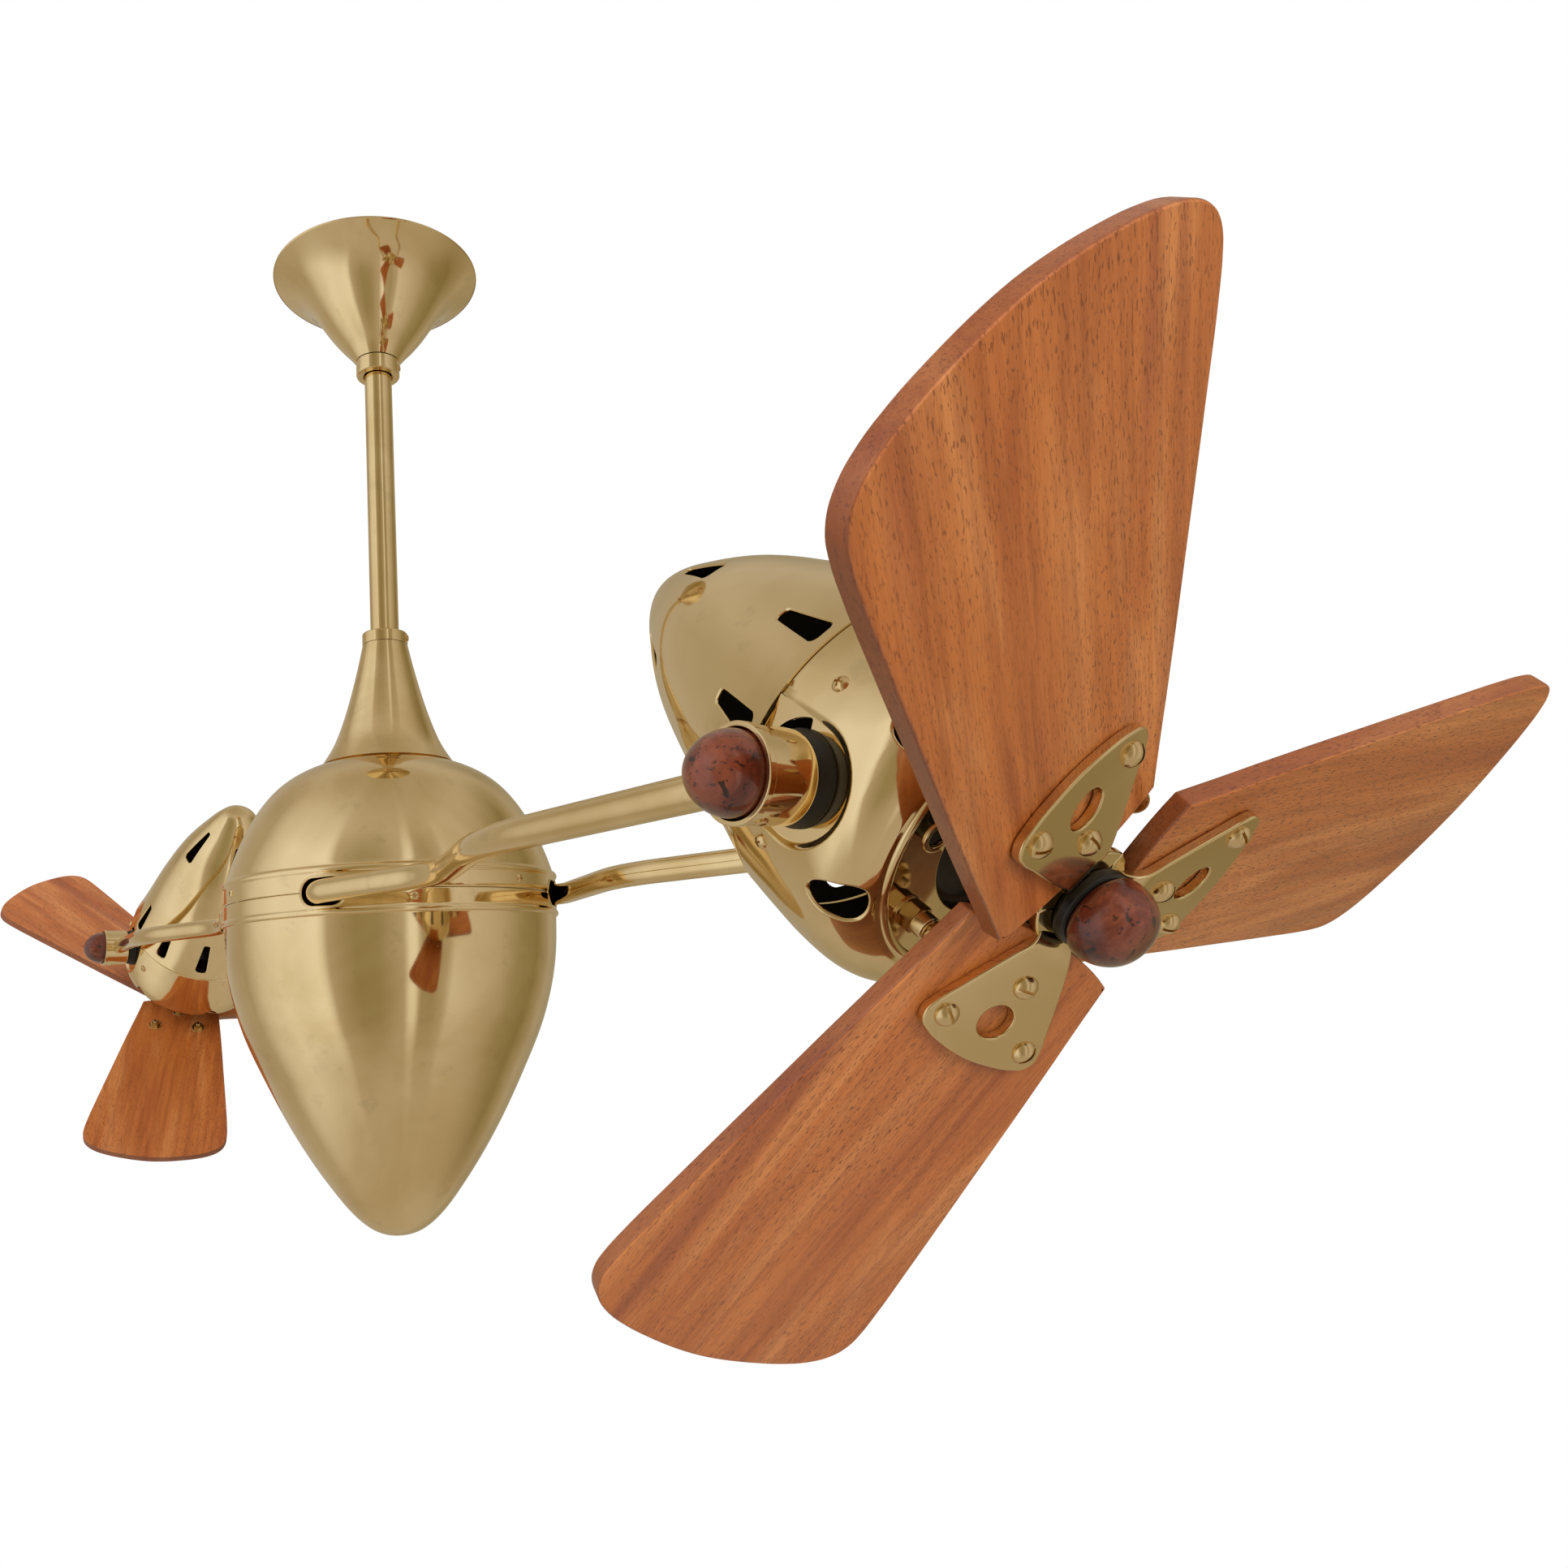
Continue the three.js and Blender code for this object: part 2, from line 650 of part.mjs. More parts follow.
function blade() {
  return plate(mirrorEdge(BLADE_EDGE), BLADE_FACE - BLADE_T, BLADE_FACE);
}

// brass bracket on the front face of a blade
function bladeBracket() {
  const base = BLADE_FACE + GAP;
  return plate(mirrorEdge(BRACKET_EDGE), base, base + BRACKET_T, [oval(6.6, 7.5, 8, 49.5)]);
}

// blade frame: x along the blade, z out of its pitched front face
function bladeFrame(degrees) {
  const { radial, tangent } = directionsAt(degrees);
  const normal = AXIS_Z.clone().multiplyScalar(Math.cos(rad(PITCH)))
    .addScaledVector(tangent, -Math.sin(rad(PITCH)));
  return frame(radial, normal.clone().cross(radial), normal, new THREE.Vector3(0, 0, HUB_Z));
}

// ------------------------------------------------------------------ assembly
const SIDES = [
  { side: 'right', signX: 1, turn: 0, rotorPhase: 42.4 },
  { side: 'left', signX: -1, turn: Math.PI, rotorPhase: 78 },
];

// pieces used on both heads
const shared = {
  rearShell: rearShell(),
  frontShell: frontShell(),
  frontPlate: frontPlate(),
  blade: blade(),
  bracket: bladeBracket(),
};

function addArms(fan, side, signX) {
  for (const [face, signY] of [['a', -signX], ['b', signX]]) {
    const finial = turned(PIVOT_FINIAL, SMALL_SEGMENTS);
    fan.add(
      mesh(`arm_${side}_${face}`, arm(signX, signY), brass),
      mesh(`socket_${side}_${face}`, atPivot(socket(), signX, signY), brass),
      mesh(`pivot_finial_${side}_${face}`, atPivot(finial, signX, signY), finialWood),
    );
  }
}

function tiltedHead() {
  const head = new THREE.Group();
  const cos = Math.cos(rad(TILT_REST));
  const sin = Math.sin(rad(TILT_REST));
  head.applyMatrix4(frame(
    new THREE.Vector3(-sin, 0, cos),
    new THREE.Vector3(0, -1, 0),
    new THREE.Vector3(cos, 0, sin),
    new THREE.Vector3(PIVOT_X, 0, ARM_Z),
  ));
  return head;
}

function addPropeller(head, side, rotorPhase) {
  head.add(
    mesh(`${side}_rotor_hub`, turned(ROTOR_HUB, SMALL_SEGMENTS), black),
    mesh(`${side}_hub_finial`, hubFinial(), finialWood),
  );
  for (let i = 0; i < BLADE_COUNT; i++) {
    const placement = bladeFrame(rotorPhase - 360 / BLADE_COUNT * i);
    const pieces = [
      mesh(`${side}_blade_bracket_${i + 1}`, shared.bracket.clone(), brass),
      mesh(`${side}_blade_${i + 1}`, shared.blade.clone(), wood),
    ];
    for (const piece of pieces) piece.applyMatrix4(placement);
    head.add(...pieces);
  }
}

function headHalf({ side, turn, rotorPhase }) {
  const half = new THREE.Group();
  half.rotation.z = turn;
  const head = tiltedHead();
  half.add(head);
  head.add(
    mesh(`${side}_rear_shell`, shared.rearShell.clone(), brass),
    mesh(`${side}_front_shell`, shared.frontShell.clone(), brass),
    mesh(`${side}_front_plate`, shared.frontPlate.clone(), brass),
    mesh(`${side}_motor`, motor(), black),
  );
  for (const [face, sign] of [['a', 1], ['b', -1]]) {
    head.add(
      mesh(`${side}_washer_${face}`, alongY(washer(), sign), rubber),
      mesh(`${side}_pivot_bolt_${face}`, alongY(pivotBolt(), sign), steel),
    );
  }
  addPropeller(head, side, rotorPhase);
  return half;
}

const fan = new THREE.Group();
fan.add(
  mesh('ceiling_bracket', turned(CEILING_BRACKET, CORE_SEGMENTS), steel),
  mesh('hanger_ball', hangerBall(), black),
  mesh('hanger_pin', crossPin(HANGER_PIN_R, HANGER_PIN_LENGTH), steel),
  mesh('downrod', downrod(), brass),
  mesh('canopy', ring(CANOPY, CANOPY_SEGMENTS), brass),
  mesh('canopy_collar', canopyCollar(), brass),
  mesh('neck_collar', neckCollar(), brass),
  mesh('neck_cover', ring(NECK_COVER, CORE_SEGMENTS), brass),
  mesh('main_spindle', mainSpindle(), steel),
  mesh('slip_ring', spindleRing(SLIP_RING_R, ...SLIP_RING_Z), steel),
  mesh('upper_shell', podShell(UPPER_SHELL), brass),
  mesh('lower_shell', podShell(LOWER_SHELL), brass),
  mesh('carousel_hub', carouselHub(), steel),
  mesh('upper_bearing', bearing(UPPER_BEARING_TOP_Z), steel),
  mesh('lower_bearing', bearing(LOWER_BEARING_TOP_Z), steel),
  mesh('brush_block', brushBlock(), black),
);
for (const { side, signX } of SIDES) addArms(fan, side, signX);
for (const entry of SIDES) fan.add(headHalf(entry));

export default fan;
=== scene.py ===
import json
import math
import bpy
import numpy as np
from mathutils import Matrix, Vector
from mathutils.geometry import delaunay_2d_cdt

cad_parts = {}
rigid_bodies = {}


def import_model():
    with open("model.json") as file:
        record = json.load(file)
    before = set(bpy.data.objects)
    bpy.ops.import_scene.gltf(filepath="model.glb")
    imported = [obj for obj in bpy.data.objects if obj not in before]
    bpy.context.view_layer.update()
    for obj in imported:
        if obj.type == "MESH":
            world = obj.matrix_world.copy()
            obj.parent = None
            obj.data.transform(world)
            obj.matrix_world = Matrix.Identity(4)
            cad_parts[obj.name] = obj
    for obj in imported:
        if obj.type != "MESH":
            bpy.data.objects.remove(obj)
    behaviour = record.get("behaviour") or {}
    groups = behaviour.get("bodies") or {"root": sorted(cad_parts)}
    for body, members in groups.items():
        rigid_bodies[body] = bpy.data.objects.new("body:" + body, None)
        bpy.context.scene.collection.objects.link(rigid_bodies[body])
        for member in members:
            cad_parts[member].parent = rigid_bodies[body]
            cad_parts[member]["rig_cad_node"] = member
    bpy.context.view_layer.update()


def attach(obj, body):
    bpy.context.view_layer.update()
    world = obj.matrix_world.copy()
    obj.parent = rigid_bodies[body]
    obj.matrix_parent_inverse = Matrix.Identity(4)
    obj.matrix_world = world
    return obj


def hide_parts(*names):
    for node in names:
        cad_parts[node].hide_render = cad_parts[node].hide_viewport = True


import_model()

NODES = {o["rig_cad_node"]: o for o in bpy.data.objects if "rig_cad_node" in o}
MM = 0.001
TAU = 2 * math.pi

# ------------------------------------------------------------------ mesh helpers
# All shapes are built in millimetres with exact surface normals.


def unit(v):
    v = np.asarray(v, float)
    return v / np.maximum(np.linalg.norm(v, axis=-1, keepdims=True), 1e-12)


class Geo:
    """Vertices, normals, triangles and quads collected from several surfaces."""

    def __init__(self):
        self.v, self.nrm, self.f, self.k, self.count = [], [], [], [], 0

    def add(self, v, n, faces, m=None, k=0):
        v = np.asarray(v, float).reshape(-1, 3)
        n = np.asarray(n, float).reshape(-1, 3)
        if m is not None:
            m = np.array(m, float)
            v = v @ m[:3, :3].T + m[:3, 3]
            n = n @ m[:3, :3].T
        for block in faces if isinstance(faces, list) else [faces]:
            block = np.asarray(block, int)
            if len(block):
                self.f.append(block + self.count)
                self.k.append(k)
        self.v.append(v)
        self.nrm.append(n)
        self.count += len(v)
        return self

    def join(self, other, m=None):
        v, n = np.concatenate(other.v), np.concatenate(other.nrm)
        for f, k in zip(other.f, other.k):
            self.f.append(f + self.count)
            self.k.append(k)
        return self.add(v, n, [], m)

    def mesh(self, name):
        v, n = np.concatenate(self.v), unit(np.concatenate(self.nrm))
        out, kinds = [], []
        for f, k in zip(self.f, self.k):
            if f.shape[1] == 4:
                g = np.cross(v[f[:, 2]] - v[f[:, 0]], v[f[:, 3]] - v[f[:, 1]])
            else:
                g = np.cross(v[f[:, 1]] - v[f[:, 0]], v[f[:, 2]] - v[f[:, 0]])
            area = np.linalg.norm(g, axis=1)
            ok = area > 1e-7
            f, g = f[ok], g[ok]
            flip = (g * n[f].sum(1)).sum(1) < 0
            f = np.where(flip[:, None], f[:, ::-1], f)
            out += f.tolist()
            kinds += [k] * len(f)
        me = bpy.data.meshes.new(name)
        me.from_pydata((v * MM).tolist(), [], out)
        me.polygons.foreach_set("material_index", kinds)
        me.shade_smooth()
        me.normals_split_custom_set_from_vertices(n.tolist())
        me.update()
        return me


def rot(axis, degrees):
    return np.array(Matrix.Rotation(math.radians(degrees), 4, axis))


def shift(x, y, z):
    return np.array(Matrix.Translation((x, y, z)))


def basis(x, y, z, o=(0, 0, 0)):
    m = np.eye(4)
    m[:3, 0], m[:3, 1], m[:3, 2], m[:3, 3] = x, y, z, o
    return m


def hermite(points, step, closed=False):
    """Dense smooth curve through the points."""
    p = np.array(points, float)
    if closed:
        p = np.vstack([p[-2:], p, p[:3]])
    d = np.maximum(np.linalg.norm(np.diff(p, axis=0), axis=1), 1e-9)
    t = np.concatenate([[0], np.cumsum(d)])
    m = np.zeros_like(p)
    s = np.diff(p, axis=0) / d[:, None]
    m[1:-1] = (s[:-1] * d[1:, None] + s[1:] * d[:-1, None]) / (d[:-1] + d[1:])[:, None]
    m[0], m[-1] = s[0], s[-1]
    out = []
    lo, hi = (2, len(p) - 3) if closed else (0, len(p) - 1)
    for i in range(lo, hi):
        k = max(1, int(math.ceil(d[i] / step)))
        u = (np.arange(k) / k)[:, None]
        h = d[i]
        out.append((2 * u**3 - 3 * u**2 + 1) * p[i] + (u**3 - 2 * u**2 + u) * h * m[i]
                   + (-2 * u**3 + 3 * u**2) * p[i + 1] + (u**3 - u**2) * h * m[i + 1])
    if not closed:
        out.append(p[-1:])
    return np.vstack(out)


class Profile:
    """A turned profile [r, z]; sign +1 when it runs down the outside."""

    def __init__(self, pts, sigma, sign=1, axis0=False, axis1=False):
        p = np.array(pts, float)
        d = np.hypot(*np.diff(p, axis=0).T)
        t = np.concatenate([[0], np.cumsum(d)])
        h = 0.1 if sigma < 1 else 0.25
        n = int(t[-1] / h) + 1
        tt = np.linspace(0, t[-1], n)
        x = np.c_[np.interp(tt, t, p[:, 0]), np.interp(tt, t, p[:, 1])]
        if sigma > 0:
            k = min(int(4 * sigma / h), n - 2)
            a, b = x[1:k + 1][::-1], x[-k - 1:-1][::-1]
            a = a * [-1, 1] if axis0 else 2 * x[0] - a
            b = b * [-1, 1] if axis1 else 2 * x[-1] - b
            y = np.vstack([a, x, b])
            g = np.exp(-0.5 * (np.arange(-k, k + 1) * h / sigma) ** 2)
            g /= g.sum()
            x = np.c_[np.convolve(y[:, 0], g, "valid"), np.convolve(y[:, 1], g, "valid")]
        d = np.hypot(*np.diff(x, axis=0).T)
        self.t = np.concatenate([[0], np.cumsum(d)])
        self.r, self.z = np.maximum(x[:, 0], 0), x[:, 1]
        dr, dz = np.gradient(x[:, 0], self.t), np.gradient(x[:, 1], self.t)
        l = np.hypot(dr, dz)
        self.dr, self.dz = dr / l, dz / l
        self.nr, self.nz = -sign * self.dz, sign * self.dr
        if axis0:
            self.nr[0] = 0
        if axis1:
            self.nr[-1] = 0
        self.apex = (axis0, axis1)

    def f(self, a, t):
        return np.interp(t, self.t, a)

    def t_of_z(self, z):
        if self.z[-1] > self.z[0]:
            return np.interp(z, self.z, self.t)
        return np.interp(-np.asarray(z, float), -self.z, self.t)

    def rows(self, step, turn):
        ang = np.unwrap(np.arctan2(self.dz, self.dr))
        acc = np.concatenate([[0], np.cumsum(np.abs(np.diff(ang)))]) / math.radians(turn) + self.t / step
        n = max(2, int(math.ceil(acc[-1])))
        return np.interp(np.linspace(0, acc[-1], n + 1), acc, self.t)

    def at(self, th, t):
        c, s = np.cos(th), np.sin(th)
        r, z, nr, nz = (self.f(a, t) for a in (self.r, self.z, self.nr, self.nz))
        return np.c_[r * c, r * s, z], unit(np.c_[nr * c, nr * s, nz])

    def table(self, step=4.0, turn=6.0):
        t = self.rows(step, turn)
        return np.c_[self.f(self.r, t), self.f(self.z, t)], np.c_[self.f(self.nr, t), self.f(self.nz, t)]


def filleted(pts, radii, sign=1, steps=5, closed=False):
    """Profile points and normals with true arcs at the corners; radius 0 keeps a crisp corner."""
    p = np.array(pts, float)
    n = len(p)
    rad = [radii] * n if np.isscalar(radii) else list(radii)
    P, N = [], []
    nor = lambda d: np.array([-d[1], d[0]]) * sign
    for i in range(n):
        if not closed and i in (0, n - 1):
            d = unit(p[1] - p[0]) if i == 0 else unit(p[-1] - p[-2])
            P.append(p[i]); N.append(nor(d))
            continue
        a, b = p[i] - p[i - 1], p[(i + 1) % n] - p[i]
        la, lb = np.linalg.norm(a), np.linalg.norm(b)
        d0, d1 = a / la, b / lb
        cr, dt = d0[0] * d1[1] - d0[1] * d1[0], float(d0 @ d1)
        phi = math.atan2(cr, dt)
        if rad[i] > 0 and abs(phi) > 1e-3:
            r = min(rad[i], 0.48 * min(la, lb) / max(math.tan(abs(phi) / 2), 1e-6))
            tl = r * math.tan(abs(phi) / 2)
            s = 1 if phi > 0 else -1
            c = p[i] - d0 * tl + np.array([-d0[1], d0[0]]) * s * r
            k = max(1, int(math.ceil(abs(phi) / (math.pi / 2) * steps)))
            for j in range(k + 1):
                g = phi * j / k
                d = np.array([d0[0] * math.cos(g) - d0[1] * math.sin(g), d0[0] * math.sin(g) + d0[1] * math.cos(g)])
                P.append(c - np.array([-d[1], d[0]]) * s * r)
                N.append(nor(d))
        elif abs(phi) > 0.45:
            P += [p[i], p[i]]
            N += [nor(d0), nor(d1)]
        else:
            P.append(p[i]); N.append(nor(unit(d0 + d1)))
    if closed:
        P.append(P[0]); N.append(N[0])
    return np.array(P), np.array(N)


def revolve(P, N, ncol, geo=None, m=None):
    th = np.arange(ncol) / ncol * TAU
    c, s = np.cos(th)[:, None], np.sin(th)[:, None]
    v = np.stack([P[:, 0] * c, P[:, 0] * s, np.broadcast_to(P[:, 1], (ncol, len(P)))], -1).reshape(-1, 3)
    n = np.stack([N[:, 0] * c, N[:, 0] * s, np.broadcast_to(N[:, 1], (ncol, len(P)))], -1).reshape(-1, 3)
    k = len(P)
    j = np.arange(ncol)
    jn = (j + 1) % ncol
    quads, tris = [], []
    for i in range(k - 1):
        if np.allclose(P[i], P[i + 1], atol=1e-9):
            continue
        a, b, c2, d = j * k + i, j * k + i + 1, jn * k + i + 1, jn * k + i
        if P[i, 0] < 1e-6 and P[i + 1, 0] < 1e-6:
            continue
        if P[i, 0] < 1e-6:
            tris.append(np.c_[a, b, c2])
        elif P[i + 1, 0] < 1e-6:
            tris.append(np.c_[a, b, d])
        else:
            quads.append(np.c_[a, b, c2, d])
    geo = geo or Geo()
    faces = ([np.concatenate(quads)] if quads else []) + ([np.concatenate(tris)] if tris else [])
    return geo.add(v, n, faces, m)


# ---- polygons
def circle(r, n, cx=0.0, cy=0.0, start=0.0):
    t = np.arange(n) / n * TAU + start
    return np.c_[cx + r * np.cos(t), cy + r * np.sin(t)]


def ccw(p):
    a = np.sum(p[:, 0] * np.roll(p[:, 1], -1) - np.roll(p[:, 0], -1) * p[:, 1])
    return p if a > 0 else p[::-1]


def vertex_normals(p):
    e = np.roll(p, -1, 0) - p
    en = unit(np.c_[e[:, 1], -e[:, 0]])
    vn = unit(en + np.roll(en, 1, 0))
    scale = 1 / np.maximum((vn * en).sum(1), 0.6)
    return vn, scale


def offset(p, d):
    vn, sc = vertex_normals(p)
    return p + vn * (d * sc)[:, None]


def round_poly(p, radii, steps=5):
    p = ccw(np.array(p, float))
    P, _ = filleted(p, radii, steps=steps, closed=True)
    P = P[:-1]
    keep = np.linalg.norm(P - np.roll(P, 1, 0), axis=1) > 1e-4
    return P[keep]


def dense(p, step):
    out = []
    for a, b in zip(p, np.roll(p, -1, 0)):
        k = max(1, int(math.ceil(np.linalg.norm(b - a) / step)))
        out.append(a + (b - a) * (np.arange(k) / k)[:, None])
    return np.vstack(out)


def soften(p, step, sigma):
    """Even points round a closed outline, lightly rounded."""
    q = np.vstack([p, p[:1]])
    t = np.concatenate([[0], np.cumsum(np.linalg.norm(np.diff(q, axis=0), axis=1))])
    n = int(t[-1] / 0.2)
    tt = np.arange(n) / n * t[-1]
    x = np.c_[np.interp(tt, t, q[:, 0]), np.interp(tt, t, q[:, 1])]
    h = t[-1] / n
    k = int(4 * sigma / h)
    g = np.exp(-0.5 * (np.arange(-k, k + 1) * h / sigma) ** 2)
    g /= g.sum()
    y = np.vstack([x[-k:], x, x[:k]])
    x = np.c_[np.convolve(y[:, 0], g, "valid"), np.convolve(y[:, 1], g, "valid")]
    # keep points where the outline turns, and every `step`
    e = np.roll(x, -1, 0) - x
    a = np.unwrap(np.arctan2(e[:, 1], e[:, 0]))
    acc = np.concatenate([[0], np.cumsum(np.abs(np.diff(a)))]) / math.radians(7) + np.arange(n) * h / step
    m = int(acc[-1])
    idx = np.unique(np.round(np.interp(np.arange(m) / m * acc[-1], acc, np.arange(n))).astype(int))
    return ccw(x[idx])


def inside(poly, q):
    x, y = q[:, 0][:, None], q[:, 1][:, None]
    a, b = poly, np.roll(poly, -1, 0)
    cond = (a[:, 1] > y) != (b[:, 1] > y)
    with np.errstate(divide="ignore", invalid="ignore"):
        xi = (b[:, 0] - a[:, 0]) * (y - a[:, 1]) / (b[:, 1] - a[:, 1]) + a[:, 0]
    return (np.sum(cond & (x < xi), 1) % 2) == 1


def sdist(poly, q):
    a, b = poly, np.roll(poly, -1, 0)
    ab = b - a
    w = q[:, None, :] - a[None]
    u = np.clip((w * ab).sum(-1) / np.maximum((ab * ab).sum(-1), 1e-12), 0, 1)
    d = np.linalg.norm(w - u[..., None] * ab, axis=-1).min(1)
    return np.where(inside(poly, q), -d, d)


def triangulate(pts, loops):
    """Constrained Delaunay over the points; loops are index lists with a closed flag."""
    edges = []
    for idx, closed in loops:
        edges += list(zip(idx[:-1], idx[1:]))
        if closed:
            edges.append((idx[-1], idx[0]))
    edges = [(int(a), int(b)) for a, b in edges]
    _, _, faces, orig, _, _ = delaunay_2d_cdt([Vector((float(a), float(b))) for a, b in pts], edges, [], 0, 1e-5, True)
    m = [o[0] if o else -1 for o in orig]
    tri = np.array([[m[i] for i in f] for f in faces if len(f) == 3], int)
    return tri[(tri >= 0).all(1)]


def fill(outer, holes=()):
    """Triangles over a flat outline with holes. Returns points and triangles."""
    pts = [outer, *holes]
    loops, k = [], 0
    for p in pts:
        loops.append((np.arange(k, k + len(p)), True))
        k += len(p)
    pts = np.vstack(pts)
    tri = triangulate(pts, loops)
    c = pts[tri].mean(1)
    ok = inside(outer, c)
    for h in holes:
        ok &= ~inside(h, c)
    return pts, tri[ok]


def strip(geo, a, b, na, nb, closed=True, m=None):
    """Quads between two rings of equal length."""
    n = len(a)
    i = np.arange(n if closed else n - 1)
    j = (i + 1) % n
    return geo.add(np.vstack([a, b]), np.vstack([na, nb]), np.c_[i, j, j + n, i + n], m)


ROUND = lambda rho, k=4: [(rho * (1 - math.sin(f)), rho * (1 - math.cos(f)), f) for f in np.linspace(0, math.pi / 2, k + 1)]


def plate(outline, z0, z1, holes=(), top=0.6, bottom=0.4, hole_top=None, wave=None, geo=None, m=None):
    """Flat plate with rounded edges. wave(x, y) may add a height to every point."""
    geo = geo or Geo()
    outline = ccw(outline)
    hole_top = top if hole_top is None else hole_top

    def lift(xy, z):
        zz = np.full(len(xy), float(z)) if np.isscalar(z) else z
        if wave is not None:
            zz = zz + wave(xy[:, 0], xy[:, 1])
        return np.c_[xy, zz]

    def edge(p, rt, rb, s):
        vn, _ = vertex_normals(p)
        g = np.c_[vn * s, np.zeros(len(p))]
        up = np.array([0, 0, 1.0])
        rings = []
        for d, h, f in ROUND(rt):
            rings.append((lift(offset(p, -s * d), z1 - h), up * math.cos(f) + g * math.sin(f)))
        for d, h, f in reversed(ROUND(rb)):
            rings.append((lift(offset(p, -s * d), z0 + h), -up * math.cos(f) + g * math.sin(f)))
        for (a, na), (b, nb) in zip(rings[:-1], rings[1:]):
            strip(geo, a, b, na, nb, True, m)

    edge(outline, top, bottom, 1)
    for h in holes:
        edge(ccw(h), hole_top, bottom, -1)
    for z, d, dh, up in ((z1, top, hole_top, 1), (z0, bottom, bottom, -1)):
        pts, tri = fill(offset(outline, -d), [offset(ccw(h), dh) for h in holes])
        geo.add(lift(pts, z), np.tile([0, 0, float(up)], (len(pts), 1)), tri, m)
    return geo


# ---- spun shells with pressed openings
class Hole:
    def __init__(self, prof, thc, tc, poly, rim, pocket=None, part=0, line=0.0):
        self.prof, self.thc, self.tc, self.poly, self.rim = prof, thc, tc, ccw(poly), rim
        self.pocket, self.part, self.line = pocket, part, line
        self.er = np.array([math.cos(thc), math.sin(thc), 0])
        self.et = np.array([-math.sin(thc), math.cos(thc), 0])
        self.lo, self.hi = self.poly.min(0) - 12, self.poly.max(0) + 12

    def local(self, th, t):
        r = self.prof.f(self.prof.r, t)
        d = (th - self.thc + math.pi) % TAU - math.pi
        if self.pocket:
            return np.where(np.abs(d) < 1.2, r * np.sin(d), 1e5), self.prof.f(self.prof.z, t)
        return d * r, t - self.tc

    def dom(self, p, th0):
        if self.pocket:
            t = self.prof.t_of_z(p[:, 1])
            th = self.thc + np.arcsin(p[:, 0] / self.prof.f(self.prof.r, t))
        else:
            t = self.tc + p[:, 1]
            th = self.thc + p[:, 0] / self.prof.f(self.prof.r, t)
        return th0 + (th - th0) % TAU, t


